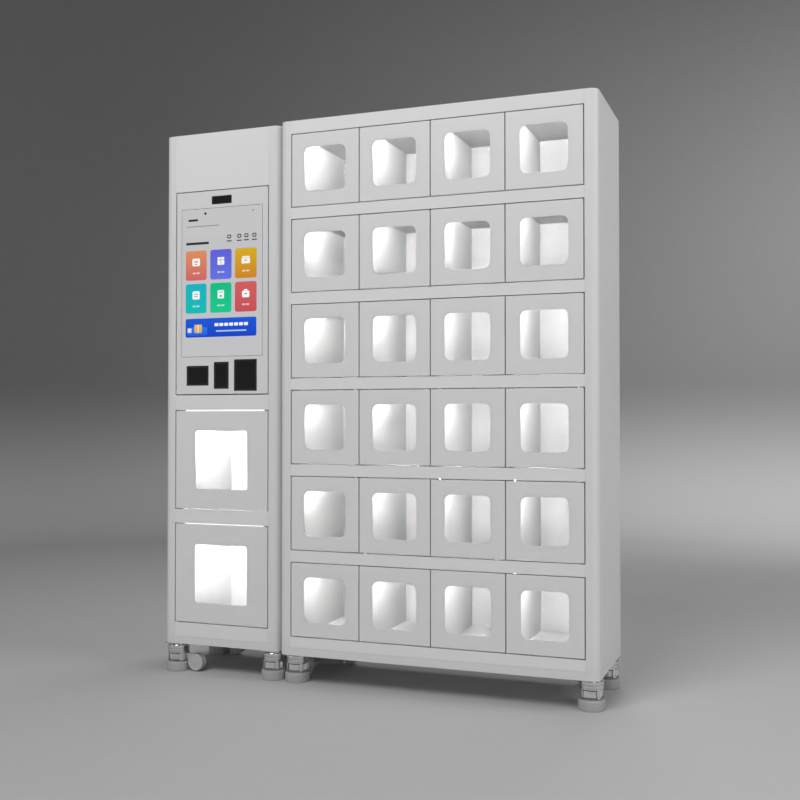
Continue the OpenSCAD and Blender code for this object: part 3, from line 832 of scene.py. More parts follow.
class LOCKER_OT_light_bars(bpy.types.Operator):
    """Light bars under the ceilings of the cells"""

    bl_idname = "locker.light_bars"
    bl_label = "Light bars"

    def execute(self, context):
        glow = context.scene.locker_finish
        small = light_cover("Cell light", glow.cell_glow)
        # The compartment bars' front lip gets a painted glow from this emissive coat.
        rim = light_cover("Compartment lip painted glow", glow.lip_painted_glow)
        wide = light_cover("Compartment light", glow.wide_glow)
        groups = (
            ("locker_light_bars", LOCKER_DOORS, small, liner_coat()),
            ("wide_light_bars", COMPARTMENT_DOORS, wide, rim),
        )
        for name, doors, cover, lip in groups:
            form = Form()
            for door in doors:
                self.bar(form, door, context.scene.locker_doors)
            # The third coat goes on the front lip: plain liner coat for the cells, painted glow for
            # the compartments.
            coats = [cover, liner_coat(), lip]
            place_piece(name, form.mesh(name), coats, BASE, ["led_bars"])
        return {"FINISHED"}

    def bar(self, form, door, s):
        """Metal channel with end caps. Its frosted cover faces the rear of the cell."""
        low, high = leaf_box(door)
        inner = 28 * MM - s.gap / 2
        left, right = low[0] + inner, high[0] - inner
        ceiling = high[2] + s.gap
        front = low[1] + 23.5 * MM
        cap = 1 * MM
        top = -SEAT / MM
        channel = [(1, -9), (10, -9), (10, -8.2), (2, -8.2), (2, -1.5), (12, -1.5), (12, top)]
        cover = [(2.1, -8.1), (9.4, -8.1), (11.9, -1.6), (2.1, -1.6)]
        lip = [(0, -9), (0.95, -9), (0.95, top), (0, top)]
        end = [(1, -9), (12, -9), (12, top), (1, top)]
        parts = (
            ([*channel, (1, top)], left + cap, right - cap, 1),
            (cover, left + cap, right - cap, 0), (lip, left, right, 2), (end, left, left + cap, 1),
            (end, right - cap, right, 1),
        )
        place = across((0, front, ceiling))
        for points, start, stop, material in parts:
            form.prism(mm(points), place, start, stop, material=material)


# ---- doors ----


def leaf_box(door):
    """Corners of a door's leaf, without its pins and tongue."""
    s = bpy.context.scene.locker_doors
    low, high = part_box(door)
    return (
        Vector((low[0], low[1], low[2] + s.pin_reach)),
        Vector((high[0], low[1] + s.depth, high[2] - s.pin_reach)),
    )


def rim_loop(width, height, corner, depth, centre):
    """Round-cornered loop round a centre, at a depth behind the door's face."""
    place = upright((0, 0, 0))
    return [place(u, v, depth) for u, v in rounded(width, height, corner, centre, 8)]


def folded_pan(width, height, s, insets, window=()):
    """Folded pan of a door round a window's loops. Its lower left corner is the origin."""
    e = s.edge
    rows = [(0, s.depth), (0, e), (e * 0.13, e * 0.5), (e * 0.5, e * 0.13), (e, 0), *insets]
    centre = (width / 2, height / 2)
    front, rear = (
        [rim_loop(width - 2 * i, height - 2 * i, 2 * MM - i, depth, centre) for i, depth in part]
        for part in (rows, [(s.sheet, s.sheet), (s.sheet, s.depth)])
    )
    form = Form()
    form.skin([*front, *window, *rear], closed=True)
    return form


def windowed_leaf(width, height, window, corner, s):
    """Pan of a door with a round-cornered window."""
    rows = ((0.7 * MM, 0), (0.2 * MM, 0.2 * MM), (0, 0.7 * MM), (0, s.sheet))
    centre = (width / 2, height / 2)
    loops = [rim_loop(window + 2 * i, window + 2 * i, corner + i, t, centre) for i, t in rows]
    return folded_pan(width, height, s, (), loops)


def pane_form(width, height, window, corner, s):
    """Window pane behind the door's skin."""
    size = window + 2 * s.pane_lap
    place = upright((width / 2, s.sheet + SEAT, height / 2))
    form = Form()
    form.prism(rounded(size, size, corner, steps=8), place, 0, s.pane, 0.3 * MM)
    return form


def door_fittings(width, height, s):
    """Pin bar, two hinge pins and the tongue that enters the lock."""
    sizes = (width, height, s.sheet + SEAT, s.pin_reach, s.pin_radius, s.pin_inset)
    w, h, inside, reach, radius, inset = (size / MM for size in sizes)
    form = Form()
    place = upright((0, 0, 0))
    form.blocks(place, [(inside, inside, inside, inside + 12, h - inside, inside + 13)], 1)
    for a, b in ((-reach, 15), (h - 15, h + reach)):
        pin = [(radius - 0.5, a), (radius, a + 0.5), (radius, b - 0.5), (radius - 0.5, b)]
        form.pegs(level((0, 0, 0)), [(inset, inset)], pin, 24)
    form.blocks(place, [(w - 10.25, h / 2 - 15, 12, w - inside, h / 2 + 15, 18)], 0.8)
    blade = mm([(18, -6), (40, -6), (42.5, -3.5), (42.5, 3.5), (40, 6), (18, 6)])
    tongue = across((width - 8.75 * MM, 0, height / 2))
    form.prism(blade, tongue, -1.5 * MM, 1.5 * MM, 0.4 * MM)
    return form


class LOCKER_OT_locker_doors(bpy.types.Operator):
    """Windowed doors of the locker cabinet, all alike"""

    bl_idname = "locker.locker_doors"
    bl_label = "Locker doors"

    def execute(self, context):
        s = context.scene.locker_doors
        hang_doors(LOCKER_DOORS, s.window, s.window_corner, "locker")
        return {"FINISHED"}


class LOCKER_OT_compartment_doors(bpy.types.Operator):
    """Two larger windowed doors under the screen"""

    bl_idname = "locker.compartment_doors"
    bl_label = "Compartment doors"

    def execute(self, context):
        s = context.scene.locker_doors
        hang_doors(COMPARTMENT_DOORS, s.wide_window, s.wide_corner, "compartment")
        return {"FINISHED"}


def hang_doors(doors, window, corner, kind):
    """Leaf, pane and fittings of each door. Like pieces share a mesh."""
    s = bpy.context.scene.locker_doors
    low, high = leaf_box(doors[0])
    width, height = high[0] - low[0], high[2] - low[2]
    leaf = windowed_leaf(width, height, window, corner, s).mesh(f"{kind}_leaf")
    pane = pane_form(width, height, window, corner, s).mesh(f"{kind}_pane")
    fittings = door_fittings(width, height, s).mesh(f"{kind}_fittings")
    for door in doors:
        at = leaf_box(door)[0]
        place_piece(f"{door}_leaf", leaf, [door_coat()], door, [door], at)
        place_piece(f"{door}_pane", pane, [window_pane()], door, [door], at)
        place_piece(f"{door}_fittings", fittings, [zinc_steel()], door, [door], at)


def screen_openings(s, width):
    """Openings in the screen door: screen, camera and three readers, as (x0, z0, x1, z1)."""
    middle = width / 2
    openings = [(middle - s.width / 2, s.lift, middle + s.width / 2, s.lift + s.height)]
    camera = s.lift + s.height + 12 * MM
    openings.append((middle - 41 * MM, camera, middle + 41 * MM, camera + 30 * MM))
    for i, (w, h) in enumerate(((92, 72), (61, 97), (92, 113))):
        x, z = middle + (i - 1) * 98 * MM, 67 * MM
        openings.append((x - w * MM / 2, z - h * MM / 2, x + w * MM / 2, z + h * MM / 2))
    return openings


class LOCKER_OT_screen_door(bpy.types.Operator):
    """Door that carries the screen and the readers"""

    bl_idname = "locker.screen_door"
    bl_label = "Screen door"

    def execute(self, context):
        s = context.scene.locker_doors
        low, high = leaf_box("control_door")
        width, height = high[0] - low[0], high[2] - low[2]
        margin = 4 * MM
        form = folded_pan(width, height, s, ((margin, 0), (margin, s.sheet)))
        holes = screen_openings(context.scene.locker_screen, width)
        xs, zs = grid_of(holes)
        xs = sorted(xs | {margin, width - margin})
        zs = sorted(zs | {margin, height - margin})
        form.plate(xs, zs, holes, upright((0, 0, 0)), 0, s.sheet)
        door, name = "control_door", "screen_door"
        coat, zinc = [door_coat()], [zinc_steel()]
        place_piece(name, form.mesh(name), coat, door, [door], low)
        name = "screen_door_fittings"
        mesh = door_fittings(width, height, s).mesh(name)
        place_piece(name, mesh, zinc, door, [door], low)
        return {"FINISHED"}


# ---- screen and readers ----

INK = (44, 45, 48)
PAPER = (194, 194, 195)
LOWER = (192, 192, 195)
WHITE = (244, 244, 244)

# Tiles of the menu: left, foot, top colour, foot colour
TILES = (
    (17.2, 278, (218, 140, 88), (205, 98, 96)), (119.6, 278, (92, 92, 212), (98, 112, 222)),
    (221.0, 278, (212, 170, 20), (203, 128, 30)), (17.2, 158, (0, 176, 190), (0, 184, 178)),
    (119.6, 158, (0, 186, 128), (16, 196, 140)), (221.0, 158, (206, 92, 90), (196, 76, 84)),
)
TILE = (87.5, 107.5)

# Plain icons of the tiles, as white and tinted bars: x, z, width, height, corner from the middle
ICONS = (
    ((0, 12, 32, 28, 5, 1), (0, 14, 16, 4, 1, 0), (0, 5, 12, 3, 1, 0)),
    ((0, 12, 28, 28, 3, 1), (0, 12, 2, 26, 0.5, 0), (0, 16, 28, 2, 0.5, 0)),
    ((0, 8, 34, 20, 3, 1), (0, 22, 30, 5, 1, 1), (0, 10, 12, 4, 1, 0)),
    ((0, 12, 30, 30, 5, 1), (0, 16, 16, 3, 1, 0), (0, 8, 16, 3, 1, 0)),
    ((0, 12, 26, 30, 3, 1), (0, 20, 18, 3, 1, 0), (0, 6, 8, 8, 2, 0)),
    ((0, 9, 30, 24, 5, 1), (0, 24, 14, 5, 2, 1), (0, 10, 10, 4, 1, 0)),
)


class LOCKER_OT_touch_screen(bpy.types.Operator):
    """Touch screen with a plain menu of tiles, and its housing"""

    bl_idname = "locker.touch_screen"
    bl_label = "Touch screen"

    def execute(self, context):
        s = context.scene.locker_screen
        low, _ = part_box("touch_screen")
        corner = (low[0] - 0.4 * MM, low[1], low[2] - 0.4 * MM)
        form = Form()
        width, height = s.width - 0.8 * MM, s.height - 0.8 * MM
        middle = (s.width / 2, s.height / 2)
        place = upright(corner)
        form.prism(rounded(width, height, 1 * MM, middle), place, SEAT, s.glass, 0, material=1)
        self.panel(form, place, s)
        self.menu(form, place)
        self.banner(form, place)
        mesh = form.mesh("touch_screen_glass")
        place_piece(
            "touch_screen_glass", mesh, [display(), smoked_glass()], "control_door",
            ["touch_screen"],
        )
        place_piece(
            "touch_screen_housing", self.housing(corner, s).mesh("touch_screen_housing"),
            [dark_metal(), black_plastic(), zinc_steel()], "control_door",
            ["touch_screen"],
        )
        return {"FINISHED"}

    def bar(self, form, place, x, z, width, height, corner, colours, lift):
        """One rounded patch of the picture, in millimetres round its middle."""
        outline = rounded(width * MM, height * MM, corner * MM, (x * MM, z * MM), 5)
        form.tile(outline, place, lift * MM, colours)

    def panel(self, form, place, s):
        """Background, title lines and small signs."""
        wide, tall = s.width / MM, s.height / MM
        self.bar(form, place, wide / 2, tall / 2, wide - 2.5, tall - 2.5, 1, (PAPER, PAPER), 0.05)
        self.bar(form, place, wide / 2, 219, wide - 2.5, 434, 1, (LOWER, LOWER), 0.10)
        marks = (
            (99, 519, 9, 9, 3.5, (10, 10, 11)), (294, 519, 6, 6, 3, (120, 120, 124)),
            (48, 497, 40, 8, 2, INK), (90, 474, 134, 2.5, 1, (120, 120, 124)),
            (66, 412, 95, 9, 2, INK),
        )
        for x, z, w, h, r, shade in marks:
            self.bar(form, place, x, z, w, h, r, (shade, shade), 0.15)
        for x in (197, 238, 267, 299):
            self.bar(form, place, x, 430, 16, 14, 4, (INK, INK), 0.15)
            self.bar(form, place, x, 430, 9, 7, 2, (LOWER, LOWER), 0.20)
            self.bar(form, place, x, 414, 20, 4, 1, (INK, INK), 0.15)

    def menu(self, form, place):
        """Six tiles, each with a plain icon and a label bar."""
        for (left, foot, top_colour, foot_colour), icon in zip(TILES, ICONS):
            x, z = left + TILE[0] / 2, foot + TILE[1] / 2
            self.bar(form, place, x, z, *TILE, 9, (top_colour, foot_colour), 0.15)
            for u, v, w, h, r, light in icon:
                shade = WHITE if light else foot_colour
                lift = 0.20 if light else 0.25
                self.bar(form, place, x + u, z + v, w, h, r, (shade, shade), lift)
            label = [(c + 2 * w) / 3 for c, w in zip(foot_colour, WHITE)]
            for u in (-8, 8):
                self.bar(form, place, x + u, foot + 26, 13, 6, 1.5, (label, label), 0.20)

    def banner(self, form, place):
        """Banner with a parcel and two plain lines."""
        deep, bright = (8, 62, 190), (14, 84, 214)
        self.bar(form, place, 162.7, 105, 290.5, 68, 7, (bright, deep), 0.15)
        self.bar(form, place, 66, 92, 84, 30, 4, ((40, 120, 235), (20, 90, 215)), 0.20)
        self.bar(form, place, 70, 102, 32, 30, 3, ((226, 190, 120), (214, 160, 92)), 0.25)
        self.bar(form, place, 70, 102, 6, 30, 0.5, ((240, 222, 180), (236, 208, 160)), 0.30)
        self.bar(form, place, 34, 96, 16, 16, 2, ((236, 236, 240), (200, 206, 230)), 0.25)
        for i in range(7):
            self.bar(form, place, 146 + 20 * i, 115, 16, 11, 2, (WHITE, WHITE), 0.20)
        self.bar(form, place, 206, 92, 124, 5, 1.5, ((176, 198, 240), (176, 198, 240)), 0.20)

    def housing(self, corner, s):
        """Metal housing behind the glass, with cooling slots drawn as black strips of painted
        shade, a plug plate and screws.
        """
        x, y, z = corner
        left, right = x + 16 * MM, x + s.width - 16 * MM
        foot, top = z + 19 * MM, z + s.height - 19 * MM
        front, back = y + s.glass + SEAT, y + 39 * MM + SEAT
        form = Form()
        form.block((left, front, foot), (right, back - 6 * MM, top), 1.5 * MM)
        form.block(
            (left + 20 * MM, back - 6.2 * MM, foot + 90 * MM),
            (right - 20 * MM, back - 0.8 * MM, top - 90 * MM), 1.5 * MM,
        )
        # Painted shade: the cooling slots are thin black strips on the back panel, not cut
        # openings.
        for i in range(14):
            slot_x = left + 60 * MM + i * 14 * MM
            form.block(
                (slot_x, back - 1.2 * MM, top - 190 * MM),
                (slot_x + 5 * MM, back - 0.6 * MM, top - 110 * MM), 0.2 * MM, material=1,
            )
        form.block(
            (left + 60 * MM, back - 1 * MM, foot + 110 * MM),
            (left + 180 * MM, back - 0.1 * MM, foot + 150 * MM), 0.3 * MM, material=1,
        )
        for sx in (left + 10 * MM, right - 10 * MM):
            for sz in (foot + 12 * MM, (foot + top) / 2, top - 12 * MM):
                form.turned(
                    [(r * MM, back - t * MM) for r, t in ((3.5, 6.1), (3.5, 4.8), (2.6, 4))],
                    upright((sx, 0, sz)), 20, material=2,
                )
        return form


class LOCKER_OT_readers(bpy.types.Operator):
    """Camera, code scanner, card reader and palm reader"""

    bl_idname = "locker.readers"
    bl_label = "Camera and readers"

    def execute(self, context):
        s = context.scene.locker_screen
        low, high = leaf_box("control_door")
        names = ("camera", "code_scanner", "card_reader", "palm_reader")
        openings = screen_openings(s, high[0] - low[0])[1:]
        for name, (x0, z0, x1, z1) in zip(names, openings):
            depth = 22 * MM if name == "camera" else 26 * MM
            form = self.unit(low, (x0, z0, x1, z1), depth, s)
            place_piece(
                name, form.mesh(name), [black_plastic(), smoked_glass(), zinc_steel()],
                "control_door", ["reader_modules"],
            )
        return {"FINISHED"}

    def unit(self, low, opening, depth, s):
        """Black rim flush with the door, a window set back in it and the body behind."""
        x0, z0, x1, z1 = opening
        width, height = x1 - x0 - 0.8 * MM, z1 - z0 - 0.8 * MM
        place = upright((low[0] + (x0 + x1) / 2, low[1], low[2] + (z0 + z1) / 2))
        rim = s.rim if height > 50 * MM else 4 * MM
        back = 1.2 * MM

        def ring(inset, t):
            outline = rounded(width - 2 * inset, height - 2 * inset, 2.5 * MM - inset)
            return [place(u, v, t) for u, v in outline]

        form = Form()
        bevel, step = 0.4 * MM, 0.3 * MM
        rows = [(0, back), (0, bevel), (bevel, 0), (rim - step, 0), (rim, step), (rim, back)]
        form.skin([ring(inset, t) for inset, t in rows], closed=True)
        form.prism(
            rounded(width - 2 * rim, height - 2 * rim, 0.5 * MM),
            place, 0.7 * MM, back, 0, material=1,
        )
        if height < 50 * MM:
            for u in (-18 * MM, 18 * MM):
                form.turned(
                    mm([(6, 0.6), (6, 0.35), (5, 0.3), (4, 0.55)]), upright(place(u, 0, 0)), 32,
                    material=1,
                )
        w, h = (x1 - x0) / 2, (z1 - z0) / 2
        form.block(place(-w, -h, back + SEAT), place(w, h, depth - 5 * MM), 1.5 * MM)
        inner = 8 * MM
        form.block(
            place(inner - w, inner - h, depth - 5.2 * MM),
            place(w - inner, h - inner, depth + 1.1 * MM), 1 * MM,
        )
        for u in (-w + 4 * MM, w - 4 * MM):
            for v in (-h + 4 * MM, h - 4 * MM):
                form.turned(
                    [(r * MM, depth - t * MM) for r, t in ((2, 5.1), (2, 4), (1.4, 3.6))],
                    upright(place(u, v, 0)), 16, material=2,
                )
        return form


class LOCKER_OT_electronics(bpy.types.Operator):
    """Mounting plate with computer, power supply and lock board; mains inlet and grommet"""

    bl_idname = "locker.electronics"
    bl_label = "Electronics"

    def execute(self, context):
        low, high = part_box("control_electronics")
        casing_low, casing_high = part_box("control_cabinet")
        plate_back = casing_high[1] - 1.5 * MM
        plate = upright((low[0], plate_back - 2 * MM, high[2] - 480 * MM))
        form = Form()
        form.prism(
            rounded(300 * MM, 480 * MM, 6 * MM, (150 * MM, 240 * MM)),
            plate, 0, 1.95 * MM, 0.3 * MM,
        )
        self.computer(form, plate)
        self.supply(form, plate)
        self.board(form, plate)
        metals = [zinc_steel(), dark_metal(), board_green(), black_plastic()]
        x, y, entry = casing_high[0], casing_high[1], casing_low[2] + ENTRY
        inlet = self.inlet((x - INLET, y, entry)).mesh("mains_inlet")
        grommet = Form()
        lip = [(10, 0.4), (10.4, 0), (11.9, 0), (11.9, 1.5), (14, 1.5), (14, 3.1), (13.6, 3.5)]
        lip += [(10.4, 3.5), (10, 3.1)]
        place = lambda u, v, t: Vector((x - GROMMET + u, y - t, entry + v))
        grommet.turned(mm(lip), place, 48, closed=True)
        for name, mesh, materials in (
            ("electronics", form.mesh("electronics"), metals),
            ("mains_inlet", inlet, [black_plastic(), zinc_steel()]),
            ("cable_grommet", grommet.mesh("cable_grommet"), [black_plastic()]),
        ):
            place_piece(name, mesh, materials, BASE, ["control_electronics"])
        return {"FINISHED"}

    def computer(self, form, plate):
        """Box computer with cooling fins."""
        form.blocks(plate, [(40, 20, -38, 260, 200, -0.05)], 2, 1)
        fins = [(46 + i * 11, 24, -50, 49 + i * 11, 196, -37.5) for i in range(20)]
        form.blocks(plate, fins, 0.4, 1)

    def supply(self, form, plate):
        """Caged power supply with a cover whose perforations are drawn as black discs of painted
        shade, and terminals.
        """
        form.blocks(plate, [(20, 220, -50, 135, 435, -0.05)], 1.5)
        holes = [(34 + i * 14.5, 262 + j * 14) for i in range(7) for j in range(12)]
        # Painted shade: thin black discs stand on the cover where its perforations would show dark.
        form.pegs(plate, holes, [(4, -50.3), (4, -49.9)], 12, 3)
        terminals = [(28 + i * 14, 224, -49, 39 + i * 14, 246, -40) for i in range(7)]
        form.blocks(plate, terminals, 0.6, 3)

    def board(self, form, plate):
        """Lock board with connectors and relays."""
        form.blocks(plate, [(190, 220, -6, 280, 420, -4)], 0.3, 2)
        posts = [(x, z) for x in (194, 276) for z in (224, 416)]
        form.pegs(plate, posts, [(2.5, -7.5), (2.5, -0.05)], 16)
        for z in range(234, 414, 15):
            rows = [(x, z, -16, x + 10, z + 12, -6) for x in (194, 266)]
            form.blocks(plate, rows, 0.4, 3)
        for j in range(6):
            z = (240 + j * 28) * MM
            form.block(
                plate(222 * MM, z, -22 * MM), plate(246 * MM, z + 18 * MM, -6 * MM), 0.8 * MM, 1
            )

    def inlet(self, origin):
        """Mains inlet: a black socket in the back sheet with three blades."""
        place = upright(origin)
        body = Form()
        outer = rounded(47.6 * MM, 27.6 * MM, 3 * MM)
        socket = rounded(25 * MM, 17 * MM, 3 * MM)
        body.skin(
            [
                [place(u, v, -22 * MM) for u, v in outer],
                [place(u, v, -0.4 * MM) for u, v in outer],
                [place(u * 0.985, v * 0.985, 0) for u, v in outer],
                [place(u, v, 0) for u, v in socket],
                [place(u, v, -17 * MM) for u, v in socket],
            ]
        )
        for x in (-7, 0, 7):
            body.block(
                place((x - 1) * MM, -2 * MM, -17 * MM),
                place((x + 1) * MM, 2 * MM, -3 * MM), 0.3 * MM, 1,
            )
        return body


def offset(place, u0, v0):
    """The same placing, moved along the plate."""
    return lambda u, v, t: place(u0 + u, v0 + v, t)


# ---- casters ----


def arc_prism(form, inner, outer, start, end, low, high, material=0):
    """Part of a ring between two angles."""
    steps = 6
    angles = [start + (end - start) * i / steps for i in range(steps + 1)]
    outline = [(outer * math.cos(a), outer * math.sin(a)) for a in angles]
    outline += [(inner * math.cos(a), inner * math.sin(a)) for a in reversed(angles)]
    form.prism(outline, level((0, 0, 0)), low, high, material=material)


def mount_form():
    """Mounting plate with countersunk screws and the king pin, round the swivel's axis."""
    form = Form()
    place = level((0, 0, 0))
    form.prism(rounded(72 * MM, 72 * MM, 4 * MM), place, 98 * MM, 102 * MM, 0.6 * MM)
    form.turned(mm([(7, 88), (8, 89), (8, 98)]), place, 32)
    for x in (-27 * MM, 27 * MM):
        for y in (-27 * MM, 27 * MM):
            form.turned(
                mm([(1.6, 98.2), (1.8, 97.7), (5, 97.7), (5, 98.2)]), level((x, y, 0)), 24,
                closed=True, material=1,
            )
    return form


def housing_form(s, radius, trail, axle_z):
    """Bell housing with three windows, its boss, the wheel's arm and the adjusting nut."""
    form = Form()
    place = level((0, 0, 0))
    low, high = s.housing_low, s.housing_high
    inner = radius - 3 * MM
    sill, lintel = s.window_low, s.window_high
    groove = 1.4 * MM
    form.turned(
        [
            (inner, lintel),
            (radius - 0.6 * MM, lintel),
            (radius, lintel + 0.6 * MM),
            (radius, lintel + 4 * MM),
            (radius - groove, lintel + 5 * MM),
            (radius - groove, lintel + 7.5 * MM),
            (radius, lintel + 8.5 * MM),
            (radius, lintel + 14 * MM),
            (radius - groove, lintel + 15 * MM),
            (radius - groove, lintel + 17 * MM),
            (radius, lintel + 18 * MM),
            (radius, high - 5 * MM),
            (radius - 1.2 * MM, high - 2 * MM),
            (radius - 4 * MM, high),
            (8.05 * MM, high),
            (8.05 * MM, high - 9 * MM),
            (inner, high - 9 * MM),
        ],
        place,
        96,
        closed=True,
    )
    nut_high = low + 23.9 * MM
    form.turned(
        [
            (7.05 * MM, nut_high + 0.1 * MM),
            (13 * MM, nut_high + 0.1 * MM),
            (13 * MM, high - 9 * MM),
            (7.05 * MM, high - 9 * MM),
        ],
        place,
        48,
        closed=True,
    )
    form.turned(
        [(inner, low), (radius, low), (radius, sill), (inner, sill)], place, 96, closed=True
    )
    cut = math.asin(s.window / 2 / radius)
    quarter = math.pi / 2
    arc_prism(form, inner, radius, cut - quarter, quarter - cut, sill, lintel)
    for middle in (1.5 * quarter, 2.5 * quarter):
        half = quarter / 2 - cut
        arc_prism(form, inner, radius, middle - half, middle + half, sill, lintel)
    arm = 4.5 * MM
    form.block((radius - 3 * MM, -arm, low), (trail, arm, low + 24 * MM), 0.8 * MM)
    form.block((trail - 12 * MM, -arm, axle_z), (trail + 12 * MM, arm, low + 24 * MM), 0.8 * MM)
    rows = ((11.2, -1, 0), (12, -1, -0.8), (12, 1, 0.8), (11.2, 1, 0))
    profile = [(r * MM, side * arm - step * MM) for r, side, step in rows]
    form.turned(profile, lambda u, v, t: Vector((trail + u, t, axle_z + v)), 32)
    outline = []
    lobe = ((0.0, 34), (0.22, 34), (0.4, 32), (0.5, 29.5), (0.72, 29.5), (0.82, 32))
    for i in range(s.nut_lobes):
        for share, reach in lobe:
            angle = 2 * math.pi * (i + share) / s.nut_lobes
            outline.append((reach * MM * math.cos(angle), reach * MM * math.sin(angle)))
    form.prism(outline, place, low + 2 * MM, nut_high, 0, material=1)
    return form


def wheel_form(s, radius, width):
    """Two discs with rounded treads on one axle, round the axle's middle."""
    form = Form()
    inside, outside = s.wheel_gap / 2, width / 2
    for side in (-1, 1):
        place = lambda u, v, t, side=side: Vector((u, side * t, v))
        form.turned(
            [
                (4.02 * MM, inside),
                (radius - 2 * MM, inside),
                (radius - 0.6 * MM, inside + 0.6 * MM),
                (radius, inside + 2 * MM),
                (radius, outside - 3 * MM),
                (radius - 0.9 * MM, outside - 1 * MM),
                (radius - 3 * MM, outside),
                (radius - 6 * MM, outside),
                (radius - 7 * MM, outside - 1.2 * MM),
                (12 * MM, outside - 1.2 * MM),
                (11 * MM, outside - 0.2 * MM),
                (6 * MM, outside - 0.2 * MM),
                (4.02 * MM, outside - 0.2 * MM),
            ],
            place,
            64,
            closed=True,
        )
    form.turned(
        [(3.5 * MM, -outside), (4 * MM, 0.5 * MM - outside), (4 * MM, outside - 0.5 * MM),
         (3.5 * MM, outside)],
        lambda u, v, t: Vector((u, t, v)),
        32,
        material=1,
    )
    return form


def foot_form(s, radius, top):
    """Rubber pad with round edges, and its threaded stem."""
    form = Form()
    place = level((0, 0, 0))
    height = s.pad_height
    form.turned(
        [
            (radius - 3 * MM, 0),
            (radius - 0.8 * MM, 0.8 * MM),
            (radius, 3 * MM),
            (radius, height * 0.30),
            (radius - 0.8 * MM, height * 0.30 + 0.6 * MM),
            (radius - 0.8 * MM, height * 0.30 + 1.8 * MM),
            (radius, height * 0.30 + 2.4 * MM),
            (radius, height - 5 * MM),
            (radius - 1.4 * MM, height - 1.5 * MM),
            (radius - 5 * MM, height),
        ],
        place,
        96,
    )
    thread = []
    z = height + SEAT
    while z < top - 1.5 * MM:
        thread += [(6.2 * MM, z), (7 * MM, z + 0.6 * MM), (7 * MM, z + 0.9 * MM)]
        z += 1.5 * MM
    thread.append((5.5 * MM, top))
    form.turned(thread, place, 32, material=1)
    return form


class LOCKER_OT_casters(bpy.types.Operator):
    """Levelling casters: mounting plate, swivel, twin wheel and foot"""

    bl_idname = "locker.casters"
    bl_label = "Levelling casters"

    def execute(self, context):
        s = context.scene.locker_casters
        first = CASTERS[0]
        foot_low, foot_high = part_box(f"foot_{first}")
        wheel_low, wheel_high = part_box(f"wheel_{first}")
        pad_radius = (foot_high[0] - foot_low[0]) / 2
        centre = (foot_low + foot_high) / 2
        wheel_radius = (wheel_high[2] - wheel_low[2]) / 2
        axle_z = (wheel_high[2] + wheel_low[2]) / 2
        trail = ((wheel_low + wheel_high) / 2 - centre).xy.length
        width = min(wheel_high[0] - wheel_low[0], wheel_high[1] - wheel_low[1])
        mount = mount_form().mesh("caster_mount")
        housing = housing_form(s, 39 * MM, trail, axle_z).mesh("caster_swivel")
        wheel = wheel_form(s, wheel_radius, width).mesh("caster_wheel")
        foot = foot_form(s, pad_radius, foot_high[2]).mesh("caster_foot")
        for name in CASTERS:
            foot_low, foot_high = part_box(f"foot_{name}")
            wheel_low, wheel_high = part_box(f"wheel_{name}")
            axis = (foot_low + foot_high) / 2
            hub = (wheel_low + wheel_high) / 2
            turn = math.atan2(hub.y - axis.y, hub.x - axis.x)
            at = (axis.x, axis.y, 0)
            place_piece(
                f"mount_{name}", mount, [satin_nickel(), zinc_steel()], BASE,
                ["caster_mounts"], at,
            )
            swivel, rolling, pad = f"swivel_{name}", f"wheel_{name}", f"foot_{name}"
            place_piece(
                f"{swivel}_housing", housing, [satin_nickel(), chrome()], swivel,
                [swivel], at, turn,
            )
            place_piece(
                f"{rolling}_discs", wheel, [wheel_plastic(), chrome()], rolling,
                [rolling], hub, turn,
            )
            place_piece(f"{pad}_pad", foot, [pad_rubber(), chrome()], pad, [pad], at, turn)
        return {"FINISHED"}


# ---- stage ----


